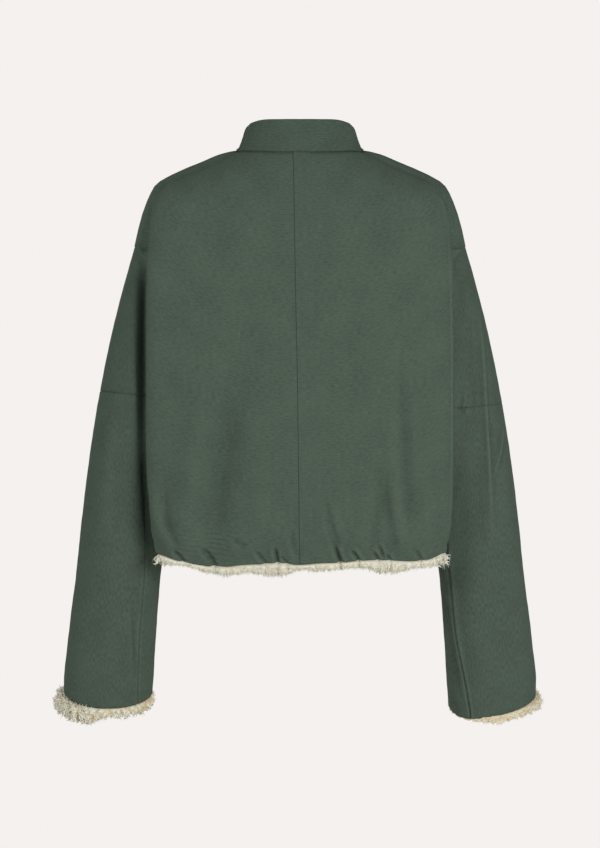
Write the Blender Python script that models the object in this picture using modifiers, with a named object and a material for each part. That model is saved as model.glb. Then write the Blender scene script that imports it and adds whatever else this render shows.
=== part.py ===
"""A cropped, boxy coat, worn and filled out with no wearer in it.

Metres, +Z up. The front faces -Y and the wearer's left is +X. The origin is the middle of the
neck hole, at the height of the collar seam at the centre back. Every panel is a loft through
rings that run round the body from the neck to the hem, or round the arm from the armhole to the
cuff, and Solidify gives it its wall on the inside.
"""

import math

import bmesh
import bpy
import numpy as np

MM = 0.001
WALL = 3.0  # the shell with the backing of its pile
STRIP_WALL = 1.0  # the stitched strip on the centre-back seam
SEAM = 0.35  # each panel stops this far short of its seam line
LAID_ON = 0.35  # clearance under what lies on a panel

CLOTH = (0.076, 0.102, 0.082)
CLOTH_COLLAR = (0.066, 0.092, 0.074)
CLOTH_SLEEVE = (0.070, 0.096, 0.078)
PILE = (0.62, 0.59, 0.47)

# Body rings, from 0 at the neck to 16 at the hem. The side of the ring is on the shoulder seam up
# to ring 5, on the armhole up to ring 10 and on the side seam below.
ARMHOLE_TOP = 5
UNDERARM = 10
HEM = 16
HEM_RING_DROP = 30  # the height between rings 15 and 16

# ring: z and y at the centre line; x and y of the fold lip; the lip's radius; how far the cloth
# turns in under the lip, from 0 on a plain shoulder to 1 beside a sleeve.
BACK_RINGS = (
    # ring, z_mid, y_mid, x_lip, y_lip, r_lip, fold
    (0, 0, 68, 72, 32, 18, 0),
    (1, -24, 80, 97, 38, 20, 0),
    (2, -56, 92, 130, 46, 24, 0),
    (3, -90, 99, 163, 55, 24, 0),
    (4, -125, 103, 185, 66, 20, 0.35),
    (5, -160, 105, 191.5, 76, 14, 0.75),
    (6, -185, 105, 193.5, 78, 12.5, 0.95),
    (8, -235, 104, 194.5, 79, 12, 1),
    (10, -285, 102, 195, 79, 12, 1),
    (12, -372, 100, 195, 79, 12, 1),
    (14, -455, 99, 193, 78, 12.5, 1),
    (15, -494, 96, 190, 73, 14, 0.95),
    (16, -523, 86, 182, 61, 16, 0.8),
)
FRONT_RINGS = (
    (0, -62, 88, 72, 42, 20, 0),
    (1, -84, 98, 97, 46, 24, 0),
    (2, -108, 108, 130, 56, 28, 0),
    (3, -134, 114, 161, 63, 28, 0),
    (4, -160, 118, 182, 75, 23, 0.35),
    (5, -186, 120, 188, 85, 16, 0.75),
    (6, -206, 120, 190, 88, 14, 0.95),
    (8, -246, 120, 190, 90, 13, 1),
    (10, -288, 119, 190, 90, 13, 1),
    (12, -372, 117, 190, 90, 13, 1),
    (14, -455, 115, 188, 89, 13.5, 1),
    (15, -494, 111, 185, 85, 15, 0.95),
    (16, -523, 100, 178, 73, 17, 0.8),
)

# The shoulder seam from the neck down over the shoulder to the top of the armhole.
SHOULDER = (
    # ring, x, z
    (0, 82, 9.5),
    (0.7, 103, 4.5),
    (1.6, 128.5, -6),
    (2.5, 153.5, -16.5),
    (3.2, 172, -25.5),
    (3.7, 187.5, -36),
    (4.2, 197.5, -55),
    (4.6, 206.5, -81),
    (5, 214.5, -116),
)
# The side seam, pressed in by the sleeve.
SIDE = (
    # ring, x, z
    (10, 150, -240),
    (10.8, 142, -280),
    (11.6, 139, -322),
    (13, 151, -392),
    (14.6, 164, -456),
    (16, 170, -508),
)
SIDE_Y = -3
INNER_SHARE = (0.2, 0.68, 0.5)  # how far from the side to under the lip the valley's wall bends
NECK_BOW = 1.0  # how much rounder than a V the neck dips
HEM_SWAY = 4.2  # the hem hangs this much lower on the wearer's left, and higher on the right

# The armhole seam is a loop through four points: (x, y, z).
ARMHOLE_OUT = (214.5, 0, -116)
ARMHOLE_BACK = (170, 50, -170)
ARMHOLE_IN = (150, SIDE_Y, -240)
ARMHOLE_FRONT = (170, -68, -170)
ARMHOLE_GAP = (0.55, 0, -0.75)  # the sleeve's top edge stands off the seam by this

SLEEVE_COLUMNS = 28  # twice as many as the armhole rows of the panels
LOWER_SLEEVE_SHARES = (0, 0.1, 0.2, 0.32, 0.44, 0.56, 0.68, 0.79, 0.9, 1)
CAP_BLEND = 0.45  # how far down the first gap the sleeve's second ring lies

# The sleeve's four lines at each height.
SLEEVE = (
    # z, x_out, x_in, y_back, y_front
    (-120, 216, 160, 46, -62),
    (-170, 230.3, 154, 51, -67),
    (-240, 247.3, 151.5, 57, -68),
    (-285, 256.3, 146.5, 61, -69),
    (-322, 263.3, 144, 63, -69),
    (-400, 275.3, 157, 60, -69),
    (-480, 285.3, 170.5, 53, -71),
    (-543, 292.3, 182, 44, -75),
    (-600, 300.3, 187, 35, -80),
    (-640, 305.3, 190, 28, -84),
    (-684, 310.3, 193, 17, -90),
    (-720, 310.3, 196, 9, -94),
)
# Heights of each ring where it crosses the four lines. The armhole loop is above the first.
SLEEVE_RINGS = (
    # out, back, in, front
    (-150, -202, -258, -202),
    (-195, -238, -278, -238),
    (-250, -272, -296, -272),
)
ELBOW = {"left": (-303, -310, -313, -308), "right": (-319, -326, -327, -324)}
CUFF = {"left": (-697, -715, -700, -684), "right": (-700, -721, -712, -692)}
SIDES = {"left": 1, "right": -1}

# The collar's top edge above the neck seam, and how far it rises at each share of the way from
# the centre back to the side, where it rounds over.
COLLAR_TOP = {"back": (60, 41.5), "side": (71, 36), "front": (78, -30)}
COLLAR_RISE = ((0, 0), (0.34, 0.4), (0.66, 1.5), (0.88, -0.5), (0.95, -2.6), (1, -5.5))
COLLAR_LEVELS = (0, 0.35, 0.7, 1)
COLLAR_HOLLOW = 1.2  # the collar flares a little at its foot
COLLAR_SEAM = 0.45  # the collar stands this far over the neck seam
COLLAR_LAP = 1.25  # its upper end stands out this much more than the fronts' lap does
LAP = 15  # the fronts and the collar's ends run this far past the centre line
LAP_BLEND = 22
LAP_COLUMNS = (-LAP, 0, LAP, LAP + LAP_BLEND / 2, LAP + LAP_BLEND)

# The strip on the centre-back seam leans a little towards the wearer's right.
STRIP_X = (-2.7, -11.2)
STRIP_WIDTH = 21.5
STRIP_ENDS = (0.03, 15.98)

# The pile that shows: how far its section lies out from the cloth's face, and its height from
# the cloth's edge, both running round from the inner top.
HEM_PILE = (
    # out, up
    (-11.5, 22),
    (-5.6, 22),
    (-5.9, 11),
    (-6.5, 1.2),
    (-3, -0.8),
    (2.2, -3.5),
    (2.4, -9.5),
    (-2.5, -14),
    (-8, -12.5),
    (-11.5, -5),
)
CUFF_PILE = (
    (-11.5, 22),
    (-5.2, 22),
    (-5.2, 1.2),
    (-3, -0.8),
    (0.9, -1.2),
    (1.6, 3),
    (2.3, 1),
    (2.5, -9),
    (1.9, -15.5),
    (-4, -16),
    (-9, -12.5),
    (-11.5, -5),
)
# How many times further the cuffs' pile reaches out, at the outer and the inner side of the
# arm, and how many times lower.
CUFF_REACH = {"left": (5.6, 1.5, 1.35), "right": (5.4, 0.8, 0.85)}


def monotone(xs, ys, x):
    """A smooth curve through (xs, ys) that never swings past them, read at x."""
    xs = np.asarray(xs, float)
    ys = np.asarray(ys, float)
    step = np.diff(xs)
    slope = np.diff(ys) / step
    tangent = np.zeros(len(xs))
    tangent[0] = slope[0]
    tangent[-1] = slope[-1]
    for i in range(1, len(xs) - 1):
        if slope[i - 1] * slope[i] > 0:
            w1 = 2 * step[i] + step[i - 1]
            w2 = step[i] + 2 * step[i - 1]
            tangent[i] = (w1 + w2) / (w1 / slope[i - 1] + w2 / slope[i])
    x = np.clip(x, xs[0], xs[-1])
    i = int(np.clip(np.searchsorted(xs, x) - 1, 0, len(xs) - 2))
    t = (x - xs[i]) / step[i]
    return (
        ys[i] * (1 + 2 * t) * (1 - t) ** 2
        + ys[i + 1] * t * t * (3 - 2 * t)
        + step[i] * (tangent[i] * t * (1 - t) ** 2 - tangent[i + 1] * t * t * (1 - t))
    )


def read(table, x):
    """Every other column of the table, read at x in its first."""
    columns = np.array(table, float)
    if columns[0, 0] > columns[-1, 0]:
        columns = columns[::-1]
    return [monotone(columns[:, 0], columns[:, j], x) for j in range(1, columns.shape[1])]


def spline(keys, p):
    """The point at p on a smooth curve through the keys, which lie at 1, 2, 3 and so on."""
    i = int(np.clip(math.floor(p), 1, len(keys) - 3))
    t = p - i
    before, start, end, after = (keys[i + k] for k in (-1, 0, 1, 2))
    d0 = math.sqrt(np.linalg.norm(start - before))
    d1 = math.sqrt(np.linalg.norm(end - start))
    d2 = math.sqrt(np.linalg.norm(after - end))
    out = d1 * ((start - before) / d0 - (end - before) / (d0 + d1) + (end - start) / d1)
    into = d1 * ((end - start) / d1 - (after - start) / (d1 + d2) + (after - end) / d2)
    return (
        start * (1 + 2 * t) * (1 - t) ** 2
        + end * t * t * (3 - 2 * t)
        + out * t * (1 - t) ** 2
        - into * t * t * (1 - t)
    )


def four_point_loop(out, back, inner, front, angle):
    """The point at an angle on a loop through four points a quarter turn apart."""
    out, back, inner, front = (np.array(point, float) for point in (out, back, inner, front))
    middle = (out + back + inner + front) / 4
    across = (out - inner) / 2
    along = (back - front) / 2
    bend = (out + inner - back - front) / 4
    return (
        middle
        + across * math.cos(angle)
        + along * math.sin(angle)
        + bend * math.cos(2 * angle)
    )


def armhole_point(angle):
    return four_point_loop(ARMHOLE_OUT, ARMHOLE_BACK, ARMHOLE_IN, ARMHOLE_FRONT, angle)


def side_point(ring, way):
    """Where a body ring ends: on the shoulder seam, the armhole or the side seam."""
    if ring <= ARMHOLE_TOP:
        x, z = read(SHOULDER, ring)
        return np.array((x, 0, z))
    if ring < UNDERARM:
        turn = math.pi * (ring - ARMHOLE_TOP) / (UNDERARM - ARMHOLE_TOP)
        return armhole_point(turn * way)
    x, z = read(SIDE, ring)
    return np.array((x, SIDE_Y, z))


def body_keys(ring, way):
    """The seven key points of half a body ring, from the centre line to the side.

    way is 1 on the back and -1 on the front. One more key at each end sets the slope there.
    """
    z_mid, y_mid, x_lip, y_lip, r_lip, fold = read(BACK_RINGS if way > 0 else FRONT_RINGS, ring)
    side = side_point(ring, way)
    x_plain = x_lip + 0.6 * (side[0] - x_lip)
    x_under = x_plain + fold * (x_lip - r_lip - x_plain)
    plan = (
        # x, y, share of the way from the centre line's height to the side's
        (0, y_mid, 0),
        (0.5 * (x_lip - r_lip), y_mid - 0.2 * (y_mid - y_lip - r_lip), 0.2),
        (x_lip - r_lip, y_lip + r_lip, 0.55),
        (x_lip, y_lip, 0.75),
        (x_under, y_lip - r_lip, 0.83),
    )
    round_neck = 1 + NECK_BOW * max(0, 1 - ring / 3)
    keys = []
    for x, y, share in plan:
        rise = share**round_neck * (side[2] - z_mid)
        keys.append(np.array((x, y * way, z_mid + rise)))
    under = keys[-1]
    inner = side + (under - side) * np.array(INNER_SHARE)
    keys += [inner, side]
    first = keys[1] * np.array((-1, 1, 1))
    last = 2 * side - inner
    if not ARMHOLE_TOP < ring < UNDERARM:
        last[0] = inner[0]
        last[2] = inner[2]
    return [first] + keys + [last]


def body_point(ring, p, way):
    """A point of the body at p: 0 on the centre line, 6 at the wearer's left side, -6 right."""
    point = spline(body_keys(ring, way), abs(p) + 1)
    point = point * np.array((1 if p >= 0 else -1, 1, 1))
    sway = math.sin(math.pi * point[0] / 190) * (ring / HEM) ** 6
    return point - np.array((0, 0, HEM_SWAY * sway))


def place_at_x(ring, x, way):
    """The p of the body point that lies at x, near the centre line."""
    return x / body_keys(ring, way)[2][0]


def side_end(ring, way):
    """The p just short of the seam at the side."""
    keys = body_keys(ring, way)
    return 6 - SEAM / np.linalg.norm(keys[7] - keys[6])


def spread(*stations):
    """Numbers from (start, steps) pairs up to a closing value."""
    values = []
    for (start, steps), following in zip(stations[:-1], stations[1:]):
        end = following[0] if isinstance(following, tuple) else following
        values += list(np.linspace(start, end, steps, endpoint=False))
    return values + [stations[-1]]


BODY_ROWS = spread((0, 7), (ARMHOLE_TOP, 7), (UNDERARM, 6), (15, 3), HEM)
COLUMNS = spread((2, 3), (3, 3), (4, 2), (5, 2), (5.75, 1), 5.93)


def mesh_object(name, points, faces, colour, collection):
    mesh = bpy.data.meshes.new(name)
    mesh.from_pydata([tuple(np.asarray(point) * MM) for point in points], [], faces)
    obj = bpy.data.objects.new(name, mesh)
    collection.objects.link(obj)
    material = bpy.data.materials.new(name)
    material.use_nodes = True
    shader = material.node_tree.nodes["Principled BSDF"]
    shader.inputs["Base Color"].default_value = (*colour, 1)
    shader.inputs["Roughness"].default_value = 0.85
    shader.inputs["Metallic"].default_value = 0
    mesh.materials.append(material)
    mesh.shade_smooth()
    return obj


def grid_faces(rows, columns, closed=False):
    """Quads over a grid of points listed row by row. Closed joins the last column to the first."""
    faces = []
    for i in range(rows - 1):
        for j in range(columns if closed else columns - 1):
            k = (j + 1) % columns
            top = i * columns
            low = top + columns
            faces.append((top + j, top + k, low + k, low + j))
    return faces


def face_out(obj, inside):
    """Turns the faces of an open sheet to look away from inside(face), a point within."""
    bm = bmesh.new()
    bm.from_mesh(obj.data)
    bmesh.ops.recalc_face_normals(bm, faces=bm.faces)
    facing = sum(face.normal.dot(face.calc_center_median() - inside(face)) for face in bm.faces)
    if facing < 0:
        bmesh.ops.reverse_faces(bm, faces=bm.faces)
    bm.to_mesh(obj.data)
    bm.free()


def add_wall(obj, thickness=WALL):
    solidify = obj.modifiers.new("wall", "SOLIDIFY")
    solidify.thickness = thickness * MM
    solidify.offset = -1
    solidify.use_even_offset = True
    return obj


def sheet(name, rows, colour, collection, axis, closed=False, thickness=WALL):
    """A cloth wall on a grid of points. axis(face) is the point of its middle line by a face."""
    points = [point for row in rows for point in row]
    faces = grid_faces(len(rows), len(rows[0]), closed)
    obj = mesh_object(name, points, faces, colour, collection)
    face_out(obj, axis)
    return add_wall(obj, thickness)


def body_axis(face):
    middle = face.calc_center_median()
    middle.x = 0
    middle.y = 0
    return middle


def row_places(ring, starts, way):
    """The places of a row's columns: at each x of starts, spread on to 2, then COLUMNS."""
    first = [place_at_x(ring, x, way) for x in starts]
    return first + list(np.linspace(first[-1], 2, 5)[1:-1]) + COLUMNS


def half_row(ring, starts, way, side):
    """Points of a half panel's row from its centre edge to just short of the side seam.

    starts are distances towards the panel's own side.
    """
    places = row_places(ring, starts, way) + [side_end(ring, way)]
    return [body_point(ring, p * SIDES[side], way) for p in places]


def strip_middle(ring):
    return STRIP_X[0] + (STRIP_X[1] - STRIP_X[0]) * ring / HEM


def make_backs(collection):
    for side, sign in SIDES.items():
        rows = []
        for ring in BODY_ROWS:
            start = strip_middle(ring) * sign + SEAM
            rows.append(half_row(ring, (start, start + 14), 1, side))
        sheet("back_" + side, rows, CLOTH, collection, body_axis)


def body_normal(ring, p, way):
    """The direction straight out of the body's surface at p."""
    across = body_point(ring, p + 0.02, way) - body_point(ring, p - 0.02, way)
    lower = min(ring + 0.05, HEM)
    down = body_point(lower, p, way) - body_point(lower - 0.05, p, way)
    normal = np.cross(across, down) * way
    return normal / np.linalg.norm(normal)


def make_fronts(collection):
    """The right front laps over the left, raised there by the wall under it."""
    for side in SIDES:
        rows = []
        for ring in BODY_ROWS:
            row = half_row(ring, LAP_COLUMNS, -1, side)
            if side == "right":
                row = [raised_on_lap(point, ring) for point in row]
            rows.append(row)
        sheet("front_" + side, rows, CLOTH, collection, body_axis)


def lap_lift(x):
    """How far the upper layer stands out at x, to clear the layer under it."""
    share = np.clip((x + LAP + LAP_BLEND) / LAP_BLEND, 0, 1)
    return (WALL + LAID_ON) * share * share * (3 - 2 * share)


def raised_on_lap(point, ring):
    lift = lap_lift(point[0])
    if lift <= 0:
        return point
    slope = abs(body_normal(ring, place_at_x(ring, point[0], -1), -1)[1])
    return point + np.array((0, -lift / slope, 0))


def make_strip(collection):
    rows = []
    for ring in [STRIP_ENDS[0]] + BODY_ROWS[1:-1] + [STRIP_ENDS[1]]:
        row = []
        for across in (-0.5, -0.17, 0.17, 0.5):
            p = place_at_x(ring, strip_middle(ring) + across * STRIP_WIDTH, 1)
            lift = LAID_ON + STRIP_WALL
            row.append(body_point(ring, p, 1) + body_normal(ring, p, 1) * lift)
        rows.append(row)
    sheet("back_strip", rows, CLOTH, collection, body_axis, thickness=STRIP_WALL)


def collar_top(p, way):
    """A point of the collar's top edge above the neck point at p."""
    y_mid, z_mid = COLLAR_TOP["back" if way > 0 else "front"]
    x_side, z_side = COLLAR_TOP["side"]
    base = body_point(0, p, way)
    x_base, z_base = side_point(0, way)[0], side_point(0, way)[2]
    y_base, z_foot = abs(body_point(0, 0, way)[1]), body_point(0, 0, way)[2]
    if way > 0:
        rise = read(COLLAR_RISE, abs(base[0]) / x_base)[0]
    else:
        share = (base[2] - z_foot) / (z_base - z_foot)
        rise = math.sin(share * math.pi / 2) * (z_side - z_mid)
    return np.array((base[0] * x_side / x_base, base[1] * y_mid / y_base, z_mid + rise))


def make_collar(collection):
    """One band from the left front, round the back, to the right front, which laps over it."""
    front = row_places(0, LAP_COLUMNS, -1) + [6]
    back = (row_places(0, (0, 14), 1) + [6])[::-1]
    stations = [(p, -1) for p in front] + [(p, 1) for p in back[1:]]
    stations += [(-p, way) for p, way in stations[-2::-1]]
    count = len(stations)
    columns = []
    for number, (p, way) in enumerate(stations):
        foot = body_point(0, p, way) + np.array((0, 0, COLLAR_SEAM))
        top = collar_top(p, way)
        upper = way < 0 and number > count / 2
        lift = lap_lift(foot[0]) * COLLAR_LAP if upper else 0
        out = np.array((0, -lift, 0))
        inward = -foot * (1, 1, 0) / np.hypot(foot[0], foot[1]) * COLLAR_HOLLOW
        column = []
        for level in COLLAR_LEVELS:
            hollow = inward * math.sin(math.pi * level)
            column.append(foot + (top - foot) * level + hollow + out)
        columns.append(column)
    rows = [[column[i] for column in columns] for i in range(len(COLLAR_LEVELS))]
    sheet("collar", rows, CLOTH_COLLAR, collection, body_axis)


def sleeve_ring_point(heights, angle):
    """A point of the level-ish sleeve ring that crosses the four lines at these heights."""
    z_out, z_back, z_in, z_front = heights
    lines = [read(SLEEVE, z) for z in heights]
    y_mid = [(line[2] + line[3]) / 2 for line in lines]
    x_mid = [(line[0] + line[1]) / 2 for line in lines]
    return four_point_loop(
        (lines[0][0], y_mid[0], z_out),
        (x_mid[1], lines[1][2], z_back),
        (lines[2][1], y_mid[2], z_in),
        (x_mid[3], lines[3][3], z_front),
        angle,
    )


def sleeve_rings(side, part):
    """The heights of every ring of the upper or the lower sleeve, below the armhole loop."""
    elbow = np.array(ELBOW[side], float)
    cuff = np.array(CUFF[side], float)
    if part == "upper":
        return [np.array(ring, float) for ring in SLEEVE_RINGS] + [elbow + SEAM]
    top = elbow - SEAM
    return [top + (cuff - top) * share for share in LOWER_SLEEVE_SHARES]


def sleeve_axis(side):
    def axis(face):
        middle = face.calc_center_median()
        x_out, x_in, y_back, y_front = read(SLEEVE, middle.z / MM)
        middle.x = SIDES[side] * (x_out + x_in) / 2 * MM
        middle.y = (y_back + y_front) / 2 * MM
        return middle

    return axis


def make_sleeves(collection):
    angles = [2 * math.pi * j / SLEEVE_COLUMNS for j in range(SLEEVE_COLUMNS)]
    away = np.array(ARMHOLE_GAP)
    for side, sign in SIDES.items():
        mirror = np.array((sign, 1, 1))
        for part in ("upper", "lower"):
            rows = []
            if part == "upper":
                top = [armhole_point(a) + away for a in angles]
                for j in range(1, SLEEVE_COLUMNS, 2):
                    top[j] = (top[j - 1] + top[(j + 1) % SLEEVE_COLUMNS]) / 2
                first = [sleeve_ring_point(SLEEVE_RINGS[0], a) for a in angles]
                rows.append(top)
                rows.append([a + (b - a) * CAP_BLEND for a, b in zip(top, first)])
            for heights in sleeve_rings(side, part):
                rows.append([sleeve_ring_point(heights, a) for a in angles])
            rows = [[point * mirror for point in row] for row in rows]
            name = "sleeve_" + part + "_" + side
            sheet(name, rows, CLOTH_SLEEVE, collection, sleeve_axis(side), closed=True)


def pile_band(name, section, stations, collection, closed):
    """A band of pile with this section, swept along a cloth edge.

    Each station is (place, flare, drop). place(up) gives the point of the cloth at a height
    over its edge and the direction out of it there.
    """
    points = []
    for place, flare, drop in stations:
        for out, up in section:
            foot, normal = place(max(up, 0))
            out = out * flare if out > 0 else out
            points.append(foot + normal * out + np.array((0, 0, min(up, 0) * drop)))
    count = len(section)
    last = len(stations)
    faces = []
    for i in range(last if closed else last - 1):
        k = (i + 1) % last
        for j in range(count):
            m = (j + 1) % count
            faces.append((i * count + j, k * count + j, k * count + m, i * count + m))
    if not closed:
        faces.append(tuple(range(count)))
        faces.append(tuple(range((last - 1) * count, last * count))[::-1])
    obj = mesh_object(name, points, faces, PILE, collection)
    bm = bmesh.new()
    bm.from_mesh(obj.data)
    bmesh.ops.recalc_face_normals(bm, faces=bm.faces)
    bm.to_mesh(obj.data)
    bm.free()


def hem_place(p, way):
    def place(up):
        ring = HEM - up / HEM_RING_DROP
        normal = body_normal(ring, p, way)
        if up == 0:
            normal = normal * np.array((1, 1, 0))
            normal = normal / np.linalg.norm(normal)
        return body_point(ring, p, way), normal

    return place


def make_hem_pile(collection):
    half = spread((0, 3), (1, 3), (2, 2), (3, 2), (4, 2), (5, 2), 5.95)
    back = [-p for p in half[:0:-1]] + half
    run = [(hem_place(p, 1), 1, 1) for p in back]
    pile_band("fur_hem_back", HEM_PILE, run, collection, False)
    start = place_at_x(HEM, SEAM, -1)
    for side, sign in SIDES.items():
        run = [(hem_place(p * sign, -1), 1, 1) for p in [start] + half[1:]]
        pile_band("fur_hem_" + side, HEM_PILE, run, collection, False)


def cuff_place(side, angle):
    mirror = np.array((SIDES[side], 1, 1))

    def place(up):
        heights = np.array(CUFF[side], float) + up
        foot = sleeve_ring_point(heights, angle)
        before = sleeve_ring_point(heights, angle - 0.02)
        after = sleeve_ring_point(heights, angle + 0.02)
        normal = np.cross(foot - sleeve_ring_point(heights + 2, angle), after - before)
        return foot * mirror, normal / np.linalg.norm(normal) * mirror

    return place


def make_cuff_pile(collection):
    for side in SIDES:
        outer, inner, drop = CUFF_REACH[side]
        stations = []
        for j in range(SLEEVE_COLUMNS):
            angle = 2 * math.pi * j / SLEEVE_COLUMNS
            flare = (outer + inner) / 2 + (outer - inner) / 2 * math.cos(angle)
            stations.append((cuff_place(side, angle), flare, drop))
        pile_band("fur_cuff_" + side, CUFF_PILE, stations, collection, True)


def main():
    for obj in list(bpy.data.objects):
        bpy.data.objects.remove(obj)
    collection = bpy.data.collections.new("reversible_coat")
    bpy.context.scene.collection.children.link(collection)
    make_backs(collection)
    make_strip(collection)
    make_fronts(collection)
    make_collar(collection)
    make_sleeves(collection)
    make_hem_pile(collection)
    make_cuff_pile(collection)


main()
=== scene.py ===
# %% [markdown]
# # A reversible coat, seen from behind
#
# The coat is short and boxy, with a stand collar, dropped sleeves in two lengths and a stitched
# strip down the centre of the back. Its outside is a dark green woven cloth and its inside is a
# cream curly pile, which shows under the hem and round the cuffs. It hangs as if it were worn.
#
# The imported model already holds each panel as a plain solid. This script makes the finer cloth
# on the same form, panel by panel, and then the creases, seams, stitches and pile.

import math

import bpy
import numpy as np
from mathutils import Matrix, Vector, noise


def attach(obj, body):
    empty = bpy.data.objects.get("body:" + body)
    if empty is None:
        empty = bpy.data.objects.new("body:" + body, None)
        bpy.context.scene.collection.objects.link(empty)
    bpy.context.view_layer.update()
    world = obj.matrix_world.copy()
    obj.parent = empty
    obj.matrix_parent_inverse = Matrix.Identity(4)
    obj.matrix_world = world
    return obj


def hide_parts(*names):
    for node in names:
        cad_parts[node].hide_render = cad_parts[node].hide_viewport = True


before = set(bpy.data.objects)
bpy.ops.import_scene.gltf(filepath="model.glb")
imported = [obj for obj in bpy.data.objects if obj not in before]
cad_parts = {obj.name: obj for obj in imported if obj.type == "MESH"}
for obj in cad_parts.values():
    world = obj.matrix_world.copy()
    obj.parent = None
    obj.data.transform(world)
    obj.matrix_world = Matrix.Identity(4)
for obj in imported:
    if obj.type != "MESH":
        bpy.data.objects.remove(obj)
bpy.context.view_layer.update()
print("nodes in the packed model:", len(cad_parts))

# %% [markdown]
# ## Helpers
#
# The light, the materials and the smallest pieces are all node trees. A helper adds a node,
# sets its inputs by name or by number, each from a value or from another node's output, and
# gives back the output that the next node wants. Another puts an object in the scene.

# %% Helpers
MM = 0.001


def fill(tree, node, inputs):
    for key, value in inputs.items():
        if isinstance(value, bpy.types.NodeSocket):
            tree.links.new(value, node.inputs[key])
        else:
            node.inputs[key].default_value = value


def add(tree, kind, inputs=None, out=0, **settings):
    node = tree.nodes.new(kind)
    for key, value in settings.items():
        setattr(node, key, value)
    fill(tree, node, inputs or {})
    return node.outputs[out] if node.outputs else None


def math_of(tree, operation, first, second):
    return add(tree, "ShaderNodeMath", {0: first, 1: second}, operation=operation)


def linked(name, data):
    obj = bpy.data.objects.new(name, data)
    bpy.context.scene.collection.objects.link(obj)
    return obj


print("lengths are given in millimetres, of", MM, "m each")

# %% [markdown]
# ## Camera
#
# A garment is often photographed from far away with a long lens, which keeps its two sides
# equal. The camera stands 3 m behind the coat, at the height of the middle of its back, and
# looks level. The lens follows from how large the coat is in the picture. Setting the focal
# length in pixels and turning it into millimetres keeps that measure exact.

# %% Camera
PICTURE_HEIGHT_PX = 848
FOCAL_PX = 2307.7
CAMERA_PLACE = (0, 3.0, -0.3465)
SENSOR_MM = 36


def make_camera():
    data = bpy.data.cameras.new("camera")
    data.sensor_width = SENSOR_MM
    data.lens = FOCAL_PX / PICTURE_HEIGHT_PX * SENSOR_MM
    camera = linked("camera", data)
    camera.location = CAMERA_PLACE
    camera.rotation_euler = (math.pi / 2, 0, math.pi)
    bpy.context.scene.camera = camera
    print(f"lens {data.lens:.1f} mm")


make_camera()

# %% [markdown]
# ## Floor, light and background
#
# A catalogue picture has an even pale background. The world gives that colour to what the
# camera sees, and a dimmer, even light to the coat, so that the large soft lamps can shape it.
# The key lamp is on the picture's right, so the left sleeve lies in the shadow of the back.
# The floor is a plain pale disc well below the coat.

# %% Floor, light and background
BACKDROP = (0.913, 0.879, 0.855, 1)
AMBIENT = 0.37
AMBIENT_COLOUR = (1, 0.985, 0.965, 1)
FLOOR_Z = -1.3
FLOOR_RADIUS = 1.7
FLOOR_CORNERS = 64
LAMPS = (
    # name, place, width, power in watts
    ("key", (-1.9, 2.5, -0.1), 1.2, 49),
    ("fill", (2.7, 1.8, 0.7), 1.6, 33),
    ("front_key", (0.8, -3.0, 0.0), 1.4, 18),
    ("front_fill", (-0.9, -3.0, -0.4), 1.6, 8),
)


def make_world():
    world = bpy.data.worlds.new("studio")
    bpy.context.scene.world = world
    world.use_nodes = True
    tree = world.node_tree
    tree.nodes.clear()
    soft = {"Color": AMBIENT_COLOUR, "Strength": AMBIENT}
    layers = {
        "Fac": add(tree, "ShaderNodeLightPath", out="Is Camera Ray"),
        1: add(tree, "ShaderNodeBackground", soft),
        2: add(tree, "ShaderNodeBackground", {"Color": BACKDROP}),
    }
    add(tree, "ShaderNodeOutputWorld", {"Surface": add(tree, "ShaderNodeMixShader", layers)})


def make_lamps():
    middle = Vector((0, 0, CAMERA_PLACE[2]))
    for name, place, width, power in LAMPS:
        data = bpy.data.lights.new(name, "AREA")
        data.shape = "SQUARE"
        data.size = width
        data.energy = power
        lamp = linked(name, data)
        lamp.location = place
        lamp.rotation_euler = (middle - Vector(place)).to_track_quat("-Z", "Y").to_euler()


def new_material(name):
    material = bpy.data.materials.new(name)
    material.use_nodes = True
    tree = material.node_tree
    return material, tree, tree.nodes["Principled BSDF"]


def make_floor():
    turn = [2 * math.pi * i / FLOOR_CORNERS for i in range(FLOOR_CORNERS)]
    points = [(FLOOR_RADIUS * math.cos(a), FLOOR_RADIUS * math.sin(a), FLOOR_Z) for a in turn]
    mesh = bpy.data.meshes.new("floor")
    mesh.from_pydata(points, [], [tuple(range(FLOOR_CORNERS))])
    material, tree, shader = new_material("pale_floor")
    fill(tree, shader, {"Base Color": BACKDROP, "Roughness": 0.9})
    mesh.materials.append(material)
    linked("floor", mesh)


make_world()
make_lamps()
make_floor()
bpy.context.scene.view_settings.view_transform = "Standard"
print(len(LAMPS), "lamps")

# %% [markdown]
# ## The cloth
#
# The outside is a tightly woven, washed cotton blend, matt all over. Three things make it: a
# plain weave of threads as fine bump, a crinkle that is longer along one set of threads than
# across it, and a little drift in the colour. Each reads the panel's own UV map, which is
# measured in metres along the cloth, so the threads follow it. The crinkle runs across the
# body and down the sleeves, which are cut with their threads the other way. The sleeves and
# collar are painted a little darker than the back, as painted shade. Each panel also says how
# sharply it bends at each point, which paints highlight on a sharp ridge and shade in a trough.

# %% Cloth materials
ACROSS = (170, 560, 1)  # crinkles in a metre, across the panel and down it
DOWN = (560, 170, 1)
CLOTHS = {
    # The collar and sleeve colours are the shell's made a little darker, as painted shade.
    "shell_cloth": ((0.079, 0.1108, 0.085), ACROSS),
    "collar_cloth": ((0.0725, 0.1025, 0.078), ACROSS),
    "sleeve_cloth": ((0.075, 0.1045, 0.0805), DOWN),
}
DARKEST, LIGHTEST = 0.58, 1.42  # how far the cloth's colour drifts, as shares of it
WEAVE_PITCH = 0.55 * MM
WAVE_TURNS = 20 / (2 * math.pi)  # bands in one unit of Blender's wave texture at scale 1
CREASE_HIGHLIGHT_AND_SHADE = 0.24  # how much painted highlight lightens a sharp ridge, and painted shade darkens a sharp trough


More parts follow.
